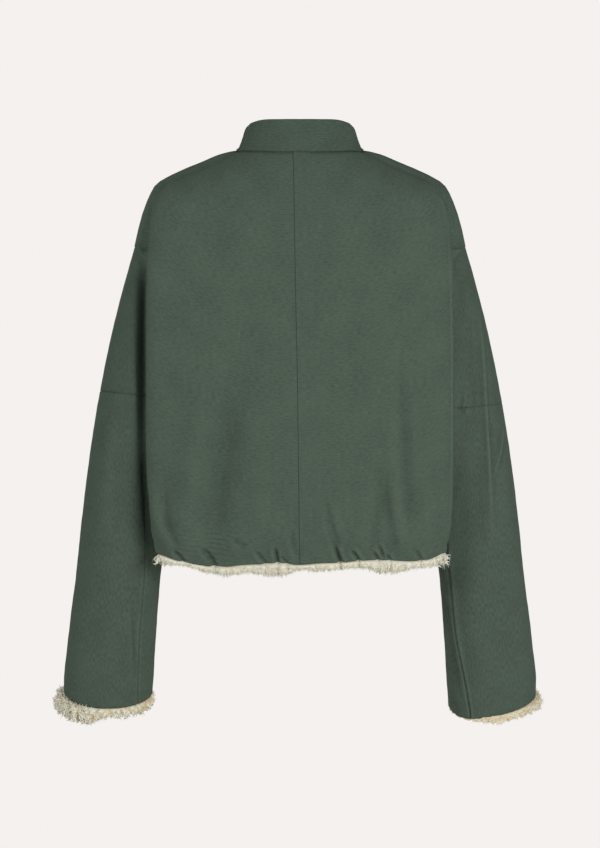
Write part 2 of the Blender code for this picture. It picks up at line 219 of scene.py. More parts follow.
def noise_of(tree, place, scale, detail):
    inputs = {"Vector": place, "Scale": scale, "Detail": detail}
    return add(tree, "ShaderNodeTexNoise", inputs)


def attribute(tree, name):
    return add(tree, "ShaderNodeAttribute", out="Fac", attribute_name=name)


def tinted(colour, shares):
    return (np.array(colour) * shares).tolist()


def colour_between(tree, factor, low, high):
    inputs = {"Factor": factor, "A": (*low, 1), "B": (*high, 1)}
    return add(tree, "ShaderNodeMix", inputs, "Result", data_type="RGBA")


def bump(tree, height, strength, distance, **under):
    inputs = {"Height": height, "Strength": strength, "Distance": distance, **under}
    return add(tree, "ShaderNodeBump", inputs)


def weave_height(tree, uv):
    """Threads over and under: the product of two sets of bands, one along each way."""
    scale = 1 / (WEAVE_PITCH * WAVE_TURNS)
    bands = {"Vector": uv, "Scale": scale, "Distortion": 0.6, "Detail": 1}
    pair = [add(tree, "ShaderNodeTexWave", bands, "Fac", bands_direction=way) for way in "XY"]
    return math_of(tree, "MULTIPLY", *pair)


def make_cloth(name, colour, crinkle_way):
    material, tree, shader = new_material(name)
    uv = add(tree, "ShaderNodeTexCoord", out="UV")
    stretched = add(tree, "ShaderNodeMapping", {"Vector": uv, "Scale": crinkle_way})
    crinkle = noise_of(tree, stretched, 1, 3)
    drift = math_of(tree, "MULTIPLY", noise_of(tree, uv, 24, 4), 0.4)
    shade = math_of(tree, "SUBTRACT", math_of(tree, "ADD", drift, crinkle), 0.2)
    # Painted highlight on sharp ridges and painted shade in sharp troughs, from the panel's bend.
    painted_crease_light = math_of(tree, "MULTIPLY", attribute(tree, "bend"), CREASE_HIGHLIGHT_AND_SHADE)
    shade = math_of(tree, "ADD", shade, painted_crease_light)
    dark, light = tinted(colour, DARKEST), tinted(colour, LIGHTEST)
    creased = bump(tree, crinkle, 0.5, 0.45 * MM)
    look = {
        "Base Color": colour_between(tree, shade, dark, light),
        "Normal": bump(tree, weave_height(tree, uv), 0.5, 0.1 * MM, Normal=creased),
        "Roughness": 0.86,
        "Specular IOR Level": 0.04,
    }
    fill(tree, shader, look)
    return material


cloths = {slot: make_cloth(slot, *look) for slot, look in CLOTHS.items()}
print("cloth:", *cloths)

# %% [markdown]
# ## Thread and pile
#
# The sewing thread is a shade lighter than the cloth, with a little gloss. The pile is cream,
# painted darker and warmer down between its locks and at its roots, as painted shade. Each strand
# carries three attributes: how far along it a point is, a tone of its own, and whether it grows
# from the head of a curl or from the valley beside it. Its place along and its curl set the
# painted shade; its tone is its own. The base that the strands grow from has the same colours by
# head and valley. Where only the lining shows, through the neck or the hem, bump and cells stand
# for the curls, with painted shade between them.

# %% Thread and pile materials
THREAD = (0.093, 0.129, 0.1, 1)
PILE = (0.88, 0.87, 0.74)
VALLEY_SHADE = tinted(PILE, (0.68, 0.55, 0.37))  # painted shade: the pile's colour between its curls and at the strands' roots
TIP = tinted(PILE, 1.03)
# Painted shade of the lining between its curls.
LINING_SHADE = tinted(PILE, 0.76)
# A strand is painted with shade at its root and in a valley, and is lighter on a curl's head and
# at its tip.
STRAND_LIGHT = {"head": 0.85, "along": 0.35, "tone": 0.2}  # how much each attribute lightens
LINING_CURLS = 260  # in a metre


def make_thread():
    material, tree, shader = new_material("thread")
    fill(tree, shader, {"Base Color": THREAD, "Roughness": 0.5})
    return material


def make_strands():
    material, tree, shader = new_material("pile_strands")
    head, along, tone = (
        math_of(tree, "MULTIPLY", attribute(tree, name), share)
        for name, share in STRAND_LIGHT.items()
    )
    light = math_of(tree, "ADD", math_of(tree, "ADD", head, along), tone)
    look = {
        "Base Color": colour_between(tree, light, VALLEY_SHADE, TIP),
        "Roughness": 0.85,
        "Sheen Weight": 0.6,
        "Sheen Roughness": 0.5,
    }
    fill(tree, shader, look)
    return material


def make_base():
    material, tree, shader = new_material("pile_base")
    # Painted shade in the valleys between the curls.
    colour = colour_between(tree, attribute(tree, "head"), VALLEY_SHADE, PILE)
    fill(tree, shader, {"Base Color": colour, "Roughness": 0.9})
    return material


def make_lining():
    material, tree, shader = new_material("pile_lining")
    place = add(tree, "ShaderNodeTexCoord", out="Object")
    cells = add(tree, "ShaderNodeTexVoronoi", {"Vector": place, "Scale": LINING_CURLS})
    curls = math_of(tree, "ADD", cells, noise_of(tree, place, 500, 4))
    # Painted shade: darker towards the cells' edges, between the curls, where the bump sinks.
    share = math_of(tree, "SUBTRACT", 1.25, curls)
    look = {
        "Base Color": colour_between(tree, share, LINING_SHADE, PILE),
        "Normal": bump(tree, share, 0.9, 1.6 * MM),
        "Roughness": 0.95,
    }
    fill(tree, shader, look)
    return material


thread = make_thread()
pile_strands = make_strands()
pile_base = make_base()
pile_lining = make_lining()
print("pile:", pile_strands.name, pile_base.name, pile_lining.name)

# %% [markdown]
# ## The form: numbers first
#
# Every panel follows rings that run round the body, from ring 0 at the neck to ring 16 at the
# hem. The tables give each ring's place at the centre line and at the fold where the back turns
# in beside the sleeve. They are in millimetres and are the same ones that the solids follow, so
# the cloth lies where its solid does. A curve that never swings past its points joins the rows.

# %% Rings of the body
ARMHOLE_TOP, UNDERARM, HEM = 5, 10, 16  # rings

BACK_RINGS = (
    # ring, z_mid, y_mid, x_lip, y_lip, r_lip, fold
    (0, 0, 68, 72, 32, 18, 0),
    (1, -24, 80, 97, 38, 20, 0),
    (2, -56, 92, 130, 46, 24, 0),
    (3, -90, 99, 163, 55, 24, 0),
    (4, -125, 103, 185, 66, 20, 0.35),
    (5, -160, 105, 191.5, 76, 14, 0.75),
    (6, -185, 105, 193.5, 78, 12.5, 0.95),
    (8, -235, 104, 194.5, 79, 12, 1),
    (10, -285, 102, 195, 79, 12, 1),
    (12, -372, 100, 195, 79, 12, 1),
    (14, -455, 99, 193, 78, 12.5, 1),
    (15, -494, 96, 190, 73, 14, 0.95),
    (16, -523, 86, 182, 61, 16, 0.8),
)
FRONT_RINGS = (
    # ring, z_mid, y_mid, x_lip, y_lip, r_lip, fold
    (0, -62, 88, 72, 42, 20, 0),
    (1, -84, 98, 97, 46, 24, 0),
    (2, -108, 108, 130, 56, 28, 0),
    (3, -134, 114, 161, 63, 28, 0),
    (4, -160, 118, 182, 75, 23, 0.35),
    (5, -186, 120, 188, 85, 16, 0.75),
    (6, -206, 120, 190, 88, 14, 0.95),
    (8, -246, 120, 190, 90, 13, 1),
    (10, -288, 119, 190, 90, 13, 1),
    (12, -372, 117, 190, 90, 13, 1),
    (14, -455, 115, 188, 89, 13.5, 1),
    (15, -494, 111, 185, 85, 15, 0.95),
    (16, -523, 100, 178, 73, 17, 0.8),
)
SHOULDER = (
    # ring, x, z
    (0, 82, 9.5), (0.7, 103, 4.5), (1.6, 128.5, -6), (2.5, 153.5, -16.5), (3.2, 172, -25.5),
    (3.7, 187.5, -36), (4.2, 197.5, -55), (4.6, 206.5, -81), (5, 214.5, -116),
)
SIDE = (
    # ring, x, z
    (10, 150, -240), (10.8, 142, -280), (11.6, 139, -322), (13, 151, -392), (14.6, 164, -456),
    (16, 170, -508),
)
SIDE_Y = -3
UNFOLDED = 0.6  # where the point under the lip is if nothing folds, from the lip to the seam
INNER_SHARE = (0.2, 0.68, 0.5)  # where the valley's wall is, from the seam to that point
KEY_RISE = (0, 0.2, 0.55, 0.75, 0.83)  # each key's height, from the middle's to the seam's
NECK_BOW = 1.0  # how much later than that the rings near the neck rise
HEM_SWAY = 4.2  # how much lower the hem's left half hangs at its middle, and higher the right's
HEM_WIDER = 0.017  # how much farther out the back's right half reaches at its edge
HEM_EASE = (
    # x, how much lower the back's edge hangs here than its ring does
    (-200, -2), (-182, -2), (-174, 1), (-161, 4.6), (-140, 5.6), (-112, 3.9), (-77, 2.3),
    (-53, 2.6), (-24, 1.1), (2.5, 0.8), (28, -3), (45, -2), (76, 0.2), (95, 3.4), (115, 3.7),
    (136, 1.9), (159, -0.5), (180, -2), (200, -2),
)
ARMHOLE = ((214.5, 0, -116), (170, 50, -170), (150, SIDE_Y, -240), (170, -68, -170))
SIDES = {"left": 1, "right": -1}


def monotone(xs, ys, x):
    """A smooth curve through (xs, ys) that never swings past them, read at x."""
    step = np.diff(xs)
    slope = np.diff(ys) / step
    tangent = np.zeros(len(xs))
    tangent[0] = slope[0]
    tangent[-1] = slope[-1]
    before, after = slope[:-1], slope[1:]
    climbs = before * after > 0
    w1 = 2 * step[1:] + step[:-1]
    w2 = step[1:] + 2 * step[:-1]
    mean = (w1 + w2) / (w1 / np.where(climbs, before, 1) + w2 / np.where(climbs, after, 1))
    tangent[1:-1] = np.where(climbs, mean, 0)
    x = np.clip(x, xs[0], xs[-1])
    i = np.clip(np.searchsorted(xs, x) - 1, 0, len(xs) - 2)
    t = (x - xs[i]) / step[i]
    return (
        ys[i] * (1 + 2 * t) * (1 - t) ** 2
        + ys[i + 1] * t * t * (3 - 2 * t)
        + step[i] * (tangent[i] * t * (1 - t) ** 2 - tangent[i + 1] * t * t * (1 - t))
    )


def read(table, x):
    """Every other column of the table, read at x in its first."""
    columns = np.array(table, float)
    if columns[0, 0] > columns[-1, 0]:
        columns = columns[::-1]
    return [monotone(columns[:, 0], columns[:, j], x) for j in range(1, columns.shape[1])]


def four_point_loop(out, back, inner, front, angle):
    """Points at these angles on a loop through four points a quarter turn apart."""
    out, back, inner, front = (np.asarray(point, float) for point in (out, back, inner, front))
    angle = np.asarray(angle, float)[..., None]
    return (
        (out + back + inner + front) / 4
        + (out - inner) / 2 * np.cos(angle)
        + (back - front) / 2 * np.sin(angle)
        + (out + inner - back - front) / 4 * np.cos(2 * angle)
    )


print("the back reaches from", BACK_RINGS[0][1], "to", BACK_RINGS[-1][1], "mm")

# %% [markdown]
# ## From rings to a surface
#
# Half a ring has seven key points: the centre line, the shoulder blade, the top of the fold, its
# lip, the point under it, the wall of the valley beside the sleeve and the seam. A Catmull-Rom
# curve joins them. numpy works out all rings and all columns of a panel at once.

# %% Surface of the body
def stacked(x, y, z):
    return np.stack(np.broadcast_arrays(x, y, z), -1).astype(float)


def side_points(rings, way):
    """Where rings end: on the shoulder seam, the armhole or the side seam."""
    x, z = read(SHOULDER, rings)
    shoulder = stacked(x, 0, z)
    turn = math.pi * (rings - ARMHOLE_TOP) / (UNDERARM - ARMHOLE_TOP)
    hole = four_point_loop(*ARMHOLE, turn * way)
    x, z = read(SIDE, rings)
    side = stacked(x, SIDE_Y, z)
    low = np.where((rings < UNDERARM)[:, None], hole, side)
    return np.where((rings <= ARMHOLE_TOP)[:, None], shoulder, low)


def body_keys(rings, way):
    """Key points of half rings, and one more at each end for the slope: (ring, key, xyz)."""
    table = BACK_RINGS if way > 0 else FRONT_RINGS
    z_mid, y_mid, x_lip, y_lip, r_lip, fold = read(table, rings)
    side = side_points(rings, way)
    x_plain = x_lip + UNFOLDED * (side[:, 0] - x_lip)
    x_under = x_plain + fold * (x_lip - r_lip - x_plain)
    plan = (
        (0 * x_lip, y_mid),
        (0.5 * (x_lip - r_lip), y_mid - 0.2 * (y_mid - y_lip - r_lip)),
        (x_lip - r_lip, y_lip + r_lip),
        (x_lip, y_lip),
        (x_under, y_lip - r_lip),
    )
    round_neck = 1 + NECK_BOW * np.maximum(0, 1 - rings / 3)
    keys = []
    for (x, y), share in zip(plan, KEY_RISE):
        keys.append(stacked(x, y * way, z_mid + share**round_neck * (side[:, 2] - z_mid)))
    inner = side + (keys[-1] - side) * np.array(INNER_SHARE)
    keys += [inner, side]
    first = keys[1] * np.array((-1, 1, 1))
    last = 2 * side - inner
    on_hole = ((rings > ARMHOLE_TOP) & (rings < UNDERARM))[:, None]
    last[:, 0::2] = np.where(on_hole, last[:, 0::2], inner[:, 0::2])
    return np.stack([first] + keys + [last], 1)


def spline(keys, p):
    """Points at p, (ring, column), on smooth curves through each ring's keys at 1, 2, 3..."""
    i = np.clip(np.floor(p), 1, keys.shape[1] - 3).astype(int)
    t = (p - i)[..., None]
    ring = np.arange(len(keys))[:, None]
    before, start, end, after = (keys[ring, i + k] for k in (-1, 0, 1, 2))
    d0, d1, d2 = (
        np.sqrt(np.linalg.norm(b - a, axis=-1, keepdims=True))
        for a, b in ((before, start), (start, end), (end, after))
    )
    out = d1 * ((start - before) / d0 - (end - before) / (d0 + d1) + (end - start) / d1)
    into = d1 * ((end - start) / d1 - (after - start) / (d1 + d2) + (after - end) / d2)
    return (
        start * (1 + 2 * t) * (1 - t) ** 2
        + end * t * t * (3 - 2 * t)
        + out * t * (1 - t) ** 2
        - into * t * t * (1 - t)
    )


def body_points(rings, places, way):
    """Points of the body: places are 0 on the centre line, 6 at the left side, -6 right."""
    rings = np.asarray(rings, float)
    places = np.broadcast_to(places, (len(rings), np.shape(places)[-1]))
    points = spline(body_keys(rings, way), np.abs(places) + 1)
    points[..., 0] *= np.where(places >= 0, 1, -1)
    sway = np.sin(math.pi * points[..., 0] / 190) * (rings[:, None] / HEM) ** 6
    points[..., 2] -= HEM_SWAY * sway
    if way > 0:
        points[..., 0] *= 1 + HEM_WIDER * (rings[:, None] / HEM) ** 12 * (points[..., 0] < 0)
        near_hem = (rings[:, None] / HEM) ** 30 * np.clip(points[..., 1] / 40, 0, 1)
        points[..., 2] -= read(HEM_EASE, points[..., 0])[0] * near_hem
    return points


def place_at_x(rings, x, way):
    """The places of the points that lie at x, near the centre line: (ring, column)."""
    return x / body_keys(np.asarray(rings, float), way)[:, 2, :1]


def spread(*stations):
    """Numbers from (start, steps) pairs up to a closing value."""
    values = []
    for (start, steps), following in zip(stations[:-1], stations[1:]):
        end = following[0] if isinstance(following, tuple) else following
        values += list(np.linspace(start, end, steps, endpoint=False))
    return np.array(values + [stations[-1]], float)


def normals_of(grid, closed=False):
    """Unit vectors out of a grid of points, away from the vertical line through its middle."""
    if closed:
        across = np.roll(grid, -1, 1) - np.roll(grid, 1, 1)
        away = grid - grid.mean(1, keepdims=True)
    else:
        across = np.gradient(grid, axis=1)
        away = grid * np.array((1, 1, 0))
    normal = np.cross(across, np.gradient(grid, axis=0))
    normal /= np.maximum(np.linalg.norm(normal, axis=-1, keepdims=True), 1e-9)
    return normal * np.sign((normal * away).sum())


print("centre of the back at ring 8:", body_points([8], [0.0], 1).round(1).ravel())

# %% [markdown]
# ## A cloth shell with two faces
#
# A Solidify modifier would do, but here the two faces of the cloth want different finishes and
# the free edges want a soft, turned look. So one helper makes the closed wall: the outer grid,
# the inner one, and a rim of two strips between them, which bulges on a free edge. Its UV map is
# measured along the cloth, in metres. A panel that is cut level starts its map at one height, so
# its threads run level too. A wall's volume says whether its faces point outwards.

# %% Wall helper
WALL = 2.4
RIM_BULGE = 0.35  # how far a free edge bulges, as a share of the wall
BEND_GAIN = 3.0  # millimetres
RIDGE_GAIN = 1.7  # how much more painted highlight a ridge gets than painted shade a trough gets
ALLOWANCE = 6  # rows and columns beside a seam that show the shell cloth on their inside too


def lengths_along(grid, axis):
    steps = np.linalg.norm(np.diff(grid, axis=axis), axis=-1)
    start = np.zeros_like(np.take(steps, [0], axis))
    return np.concatenate([start, np.cumsum(steps, axis)], axis)


def calmed(normals, closed):
    """The normals, shared with their neighbours', so that a lining is even under a crease."""
    for axis in (0, 1):
        wide = [(2, 2) if axis == k else (0, 0) for k in range(3)]
        for _ in range(4):
            more = np.pad(normals, wide, "wrap" if closed and axis else "edge")
            parts = [np.take(more, range(k, k + normals.shape[axis]), axis) for k in range(5)]
            normals = sum(parts) / 5
    return normals / np.maximum(np.linalg.norm(normals, axis=-1, keepdims=True), 1e-9)


def wrapped(grid, closed):
    """The grid, with its first column once more at its end if it is closed."""
    return np.concatenate([grid, grid[:, :1]], 1) if closed else grid


def quads_of(index):
    corners = (index[:-1, :-1], index[:-1, 1:], index[1:, 1:], index[1:, :-1])
    return np.stack(corners, -1).reshape(-1, 4)


def border_of(index, closed):
    """The border of a grid as closed runs, in the order that its faces have."""
    if closed:
        return [index[0], index[-1, ::-1]]
    run = [index[0, :-1], index[:-1, -1], index[-1, :0:-1], index[:0:-1, 0], index[0, :1]]
    return [np.concatenate(run)]


def bend_of(grid, push):
    """How sharply the pushed surface bends: down to -1 in a trough, and up to 1.7 on a ridge."""
    total = np.zeros_like(push)
    for axis in (0, 1):
        step = np.maximum(np.gradient(lengths_along(grid, axis), axis=axis), 0.2)
        slope = np.gradient(push, axis=axis) / step
        total -= np.gradient(slope, axis=axis) / step
    bend = np.tanh(BEND_GAIN * total)
    return np.where(bend > 0, RIDGE_GAIN * bend, bend)


def inside_out(points, faces):
    """Whether a closed mesh's faces point inwards, which the sign of its volume says."""
    corners = points[faces]
    fan = [(corners[:, 0], corners[:, k], corners[:, k + 1]) for k in (1, 2)]
    return sum(np.einsum("ij,ij->i", a, np.cross(b, c)).sum() for a, b, c in fan) < 0


def plain_object(name, points, faces=(), edges=()):
    """A mesh object. The points are in millimetres."""
    mesh = bpy.data.meshes.new(name)
    mesh.from_pydata((points * MM).tolist(), edges, faces)
    return linked(name, mesh)


def give(obj, name, values, kind="FLOAT"):
    """Gives every point of the object's mesh a value of this name."""
    layer = obj.data.attributes.new(name, kind, "POINT")
    layer.data.foreach_set("value" if kind == "FLOAT" else "vector", values.ravel())


def lined_object(name, points, faces, uv, materials, inside):
    """A mesh object with a UV map. inside marks the faces of the second material."""
    if inside_out(points, faces):
        faces, uv = faces[:, ::-1], uv[:, ::-1]
    obj = plain_object(name, points, faces.tolist())
    mesh = obj.data
    mesh.uv_layers.new(name="UVMap").data.foreach_set("uv", (uv * MM).ravel())
    for material in materials:
        mesh.materials.append(material)
    mesh.polygons.foreach_set("material_index", inside.astype(np.int32))
    mesh.shade_smooth()
    return obj


def make_wall(name, grid, cloth, closed=False, free=(), wall=WALL, push=None):
    """A closed wall on a grid of points. free names its unsewn edges: top, low, first, last."""
    rows, columns = grid.shape[:2]
    count = rows * columns
    out = normals_of(grid, closed)
    if push is not None:
        out = calmed(out, closed)
    index = wrapped(np.arange(count).reshape(rows, columns), closed)
    around = wrapped(grid, closed)
    start = around[:1, :, 2].max() - around[:1, :, 2] if push is not None else 0
    uv = np.stack([lengths_along(around, 1), lengths_along(around, 0) + start], -1)
    uv_index = np.arange(uv[..., 0].size).reshape(uv.shape[:2])
    outward = np.zeros_like(grid)
    bulge = np.zeros((rows, columns, 1))
    for edge, here, beside in (
        ("top", np.s_[0], np.s_[1]),
        ("low", np.s_[-1], np.s_[-2]),
        ("first", np.s_[:, 0], np.s_[:, 1]),
        ("last", np.s_[:, -1], np.s_[:, -2]),
    ):
        if edge in free:
            outward[here] = grid[here] - grid[beside]
            bulge[here] = RIM_BULGE * wall
    outward /= np.maximum(np.linalg.norm(outward, axis=-1, keepdims=True), 1e-9)
    middle = grid - out * wall / 2 + outward * bulge
    layers = np.concatenate([grid, grid - out * wall, middle]).reshape(-1, 3)
    quads, uv_quads = quads_of(index), quads_of(uv_index)
    faces = [quads, quads[:, ::-1] + count]
    uv_faces = [uv_quads, uv_quads[:, ::-1]]
    for run, uv_run in zip(border_of(index, closed), border_of(uv_index, closed)):
        for near, far in ((0, 2 * count), (2 * count, count)):
            strip = (run[1:] + near, run[:-1] + near, run[:-1] + far, run[1:] + far)
            faces.append(np.stack(strip, -1))
            uv_faces.append(np.stack((uv_run[1:], uv_run[:-1], uv_run[:-1], uv_run[1:]), -1))
    inside = np.zeros(sum(map(len, faces)), bool)
    lined = np.ones((rows - 1, index.shape[1] - 1), bool)
    if push is not None:
        lined[:ALLOWANCE] = False
        if not closed:
            lined[:, -ALLOWANCE:] = False
    inside[len(quads) : 2 * len(quads)] = lined.ravel()
    faces = np.concatenate(faces)
    used, faces = np.unique(faces, return_inverse=True)
    faces = faces.reshape(-1, 4)
    uv = uv.reshape(-1, 2)[np.concatenate(uv_faces)]
    obj = lined_object(name, layers[used], faces, uv, (cloth, pile_lining), inside)
    if push is not None:
        # The cloth's material paints highlight and shade from this bend.
        give(obj, "bend", np.tile(bend_of(grid, push).ravel(), 3)[used])
    return obj


pieces_made = []


def cloth_piece(node, slot, grid, closed=False, **form):
    """Makes one panel and hides the solid that it stands for; the width and length of its cut are
    worked out but not used.
    """
    name = "cloth_" + node
    obj = make_wall(name, grid, cloths[slot], closed, **form)
    around = wrapped(grid, closed)
    width = lengths_along(around, 1)[:, -1].max() * MM
    length = lengths_along(around, 0)[-1].max() * MM
    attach(obj, "root")
    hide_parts(node)
    pieces_made.append(obj)


print("a wall is", WALL, "mm thick")

# %% [markdown]
# ## Creases
#
# Cloth that hangs has long soft troughs, and cloth that is gathered into a hem has short sharp
# tucks. Each crease here is a bent line, given one by one, with its own depth and width, that is
# deepest at one place and fades at both ends. A trough has a negative depth, and its lip is the
# share of the depth by which the cloth stands up on one side of it, the wearer's left where the
# lip is positive. That side is also the steeper one. Giving each one by one keeps them as uneven
# as real ones.

# %% Creases of the back and the fronts
STEPS_A_WIDTH = 2.5  # points along a crease's line, for each of its widths
REACH = 4  # how far a crease is felt, in its widths
FAINTEST = 0.12  # its strength at both ends
LIP_PLACE, LIP_WIDTH = 2.1, 1.2  # of the raised lip beside it, in its widths
STEEPER, GENTLER = 0.8, 0.4  # how much its two sides differ for a full lip

BACK_CREASES = (
    # x0, z0, x1, z1, x2, z2, depth, width, deepest, lip
    (79, -265, 97, -402, 115, -555, -12.3, 16, 0.5, 0.5),
    (132, -300, 138, -400, 138, -480, 3.5, 18, 0.6, 0),
    (70, -70, 88, -190, 84, -300, 2.6, 26, 0.5, 0),
    (144, -70, 160, -200, 160, -350, -3.4, 18, 0.5, 0),
    (172, -410, 170, -455, 160, -494, -3.6, 9, 0.6, -0.3),
    (52, -380, 50, -440, 58, -500, 2.2, 14, 0.5, 0),
    (-40, -110, -52, -220, -50, -340, 2.4, 26, 0.5, 0),
    (-128, -262, -132, -379, -140, -490, -5.0, 8, 0.6, 0.4),
    (-101, -392, -101, -445, -90, -508, -4.4, 9, 0.75, 0.5),
    (-103, -410, -110, -460, -122, -514, -3.6, 8, 0.75, -0.4),
    (-160, -400, -162, -450, -158, -500, 2.4, 10, 0.5, 0),
    (-31, -430, -40, -475, -51, -506, -2.9, 5.5, 0.7, -0.4),
    (11, -474, 8, -496, 1, -520, -1.8, 3.6, 0.6, 0.3),
    (176, -448, 166, -480, 150, -506, -2.2, 5.0, 0.6, 0.4),
    (197, -420, 197, -455, 194, -490, -2.2, 9, 0.5, 0),
    (191, -496, 188, -507, 182, -518, 2.6, 7, 0.5, 0),
    (-192, -500, -189, -510, -182, -520, 2.4, 7, 0.5, 0),
    (190, -58, 193.5, -100, 195, -140, -3.6, 1.9, 0.6, -0.2),
    (194, -62, 198.5, -100, 201, -140, -4.4, 4.5, 0.6, 0),
    (-178, -52, -184, -64, -191, -80, -2.4, 2.0, 0.6, 0.4),
    (-187, -70, -191.5, -290, -189, -512, 1.3, 1.6, 0.5, 0),
    (161, -505, 152, -514, 142, -526, -4.6, 2.8, 0.65, 0.25),
    (126, -502, 116, -514, 104, -532, -4.8, 3.0, 0.65, 0.25),
    (88, -490, 76, -497, 64, -503, -2.2, 4.2, 0.5, 0.2),
    (57, -506, 50, -514, 41, -526, -3.0, 2.6, 0.7, 0.25),
    (31, -502, 30, -512, 27, -526, -4.8, 2.4, 0.65, 0.25),
    (25, -512, 20, -518, 12, -526, -2.4, 2.2, 0.65, 0.2),
    (-43, -497, -48, -511, -54, -527, -5.6, 2.8, 0.65, -0.3),
    (-65, -504, -71, -513, -79, -524, -4.0, 2.4, 0.65, -0.3),
    (-93, -508, -97, -514, -102, -524, -3.4, 2.2, 0.6, -0.2),
    (-99, -498, -103, -508, -107, -518, -3.2, 2.4, 0.5, -0.3),
    (-109, -510, -113, -516, -118, -526, -2.8, 2.2, 0.6, -0.2),
    (-146, -505, -151, -513, -157, -524, -2.4, 3.0, 0.6, -0.2),
    (-210, -122, -203, -119, -194, -115, -1.6, 1.6, 0.5, 0.3),
)
FRONT_CREASES = (
    # x0, z0, x1, z1, x2, z2, depth, width, deepest, lip
    (118, -232, 112, -330, 120, -440, -2.8, 13, 0.6, 0.4),
    (-96, -262, -104, -350, -97, -455, -2.8, 12, 0.6, -0.4),
    (150, -150, 142, -215, 146, -290, -1.8, 12, 0.4, 0.3),
    (-146, -160, -150, -225, -142, -300, -1.7, 12, 0.5, 0.3),
    (60, -380, 66, -430, 58, -486, -2.2, 9, 0.6, 0.4),
    (-52, -420, -58, -455, -50, -492, -1.9, 8, 0.6, -0.4),
    (136, -500, 130, -509, 124, -519, -2.8, 3.2, 0.7, 0.5),
    (96, -498, 94, -508, 90, -520, -3.0, 3.2, 0.7, 0.5),
    (50, -500, 55, -510, 58, -521, -2.8, 3.2, 0.7, 0.5),
    (-38, -499, -42, -509, -44, -520, -2.9, 3.2, 0.7, -0.5),
    (-82, -501, -80, -510, -85, -520, -2.6, 3.2, 0.7, -0.5),
    (-128, -500, -132, -509, -136, -518, -2.8, 3.2, 0.7, -0.5),
)


def smooth(t):
    t = np.clip(t, 0, 1)
    return t * t * (3 - 2 * t)


def crease_push(x, z, table):
    """How far each point moves out of the surface, from all the creases in the table."""
    push = np.zeros(x.shape)
    for x0, z0, x1, z1, x2, z2, depth, width, deepest, lip in table:
        reach = REACH * width
        near = (x > min(x0, x1, x2) - reach) & (x < max(x0, x1, x2) + reach)
        near &= (z > min(z0, z1, z2) - reach) & (z < max(z0, z1, z2) + reach)
        if not near.any():
            continue
        long = math.dist((x0, z0), (x1, z1)) + math.dist((x1, z1), (x2, z2))
        t = np.linspace(0, 1, 6 + int(STEPS_A_WIDTH * long / width))
        line_x, line_z = (
            (1 - t) ** 2 * a + 2 * t * (1 - t) * (2 * b - (a + c) / 2) + t * t * c
            for a, b, c in ((x0, x1, x2), (z0, z1, z2))
        )
        off_x = x[near][:, None] - line_x
        off_z = z[near][:, None] - line_z
        nearest = np.hypot(off_x, off_z).argmin(1)
        here = np.arange(len(nearest)), nearest
        off = np.hypot(off_x, off_z)[here] / width
        way_x, way_z = np.gradient(line_x)[nearest], np.gradient(line_z)[nearest]
        beside = off * np.sign((way_x * off_z[here] - way_z * off_x[here]) * lip)
        along = t[nearest]
        fade = np.where(along < deepest, along / deepest, (1 - along) / (1 - deepest))
        strength = FAINTEST + (1 - FAINTEST) * smooth(1.5 * fade)
        raised = abs(lip) * np.exp(-(((beside - LIP_PLACE) / LIP_WIDTH) ** 2))
        off = off * np.where(beside > 0, 1 + STEEPER * abs(lip), 1 - GENTLER * abs(lip))
        push[near] += depth * strength * (np.exp(-(off**2)) - raised)
    return push


def rumple(grid, height, size, seed):
    """A faint, uneven waviness all over, from a sum of slanted waves of unlike lengths."""
    total = np.zeros(grid.shape[:2])
    for k in range(5):
        turn = 2.4 * k + seed
        length = size * (0.6 + 0.27 * k)
        way = math.cos(turn), 0.6 * math.sin(turn), math.sin(1.7 * turn + 0.4)
        total += np.sin(2 * math.pi / length * (grid @ np.array(way)) + 1.9 * k + seed)
    return height * total / 5


def seam_dip(distance, depth=0.3, width=1.2):
    """The cloth is drawn in beside a seam."""
    return -depth * np.exp(-((distance / width) ** 2))


print(len(BACK_CREASES) + len(FRONT_CREASES), "creases laid on the body")

# %% [markdown]
# ## Back panels
#
# The two halves of the back meet under the strip. Each runs round the fold beside the sleeve to
# the shoulder seam, the armhole and the side seam. The rows are closer together near the hem,
# where the tucks are short. A panel is drawn in at every seam that it shares.

# %% Back panels
STRIP_X = (-2.7, -11.2)  # the strip's middle at the neck and at the hem
SEAM_GAP = 0.15
BACK_RUMPLE = (0.22, 26, 0.7)  # height, size, seed
BACK_ROWS = spread((0, 20), (5, 28), (10, 36), (14, 22), (15, 26), HEM)
BACK_COLUMNS = spread((2, 16), (3, 12), (4, 8), (5, 12), 6.02)
CENTRE_COLUMNS = 112  # columns from the centre seam out to the shoulder blade
SEAM_CALM = 13  # creases fade this far before a seam that the panel shares with a sleeve


def strip_middle(rings):
    return STRIP_X[0] + (STRIP_X[1] - STRIP_X[0]) * np.asarray(rings) / HEM


def half_places(rings, x_start, way, columns, rest):
    """Places of a half panel's points, from x_start out to the side seam: (ring, column)."""
    start = place_at_x(rings, x_start, way)
    first = start + (rest[0] - start) * np.linspace(0, 1, columns, endpoint=False)
    return np.concatenate([first, np.broadcast_to(rest, (len(rings), len(rest)))], 1)


def to_side(grid):
    return lengths_along(grid[:, ::-1], 1)[:, ::-1]


def seam_push(grid):
    """Draws a body panel in along the neck, the side seam and the armhole."""
    return seam_dip(to_side(grid)) + seam_dip(lengths_along(grid, 0), 0.5)


def shifted(grid, push):
    """The grid moved out along its normals, and how far each point of it moved."""
    return grid + normals_of(grid) * push[..., None], push


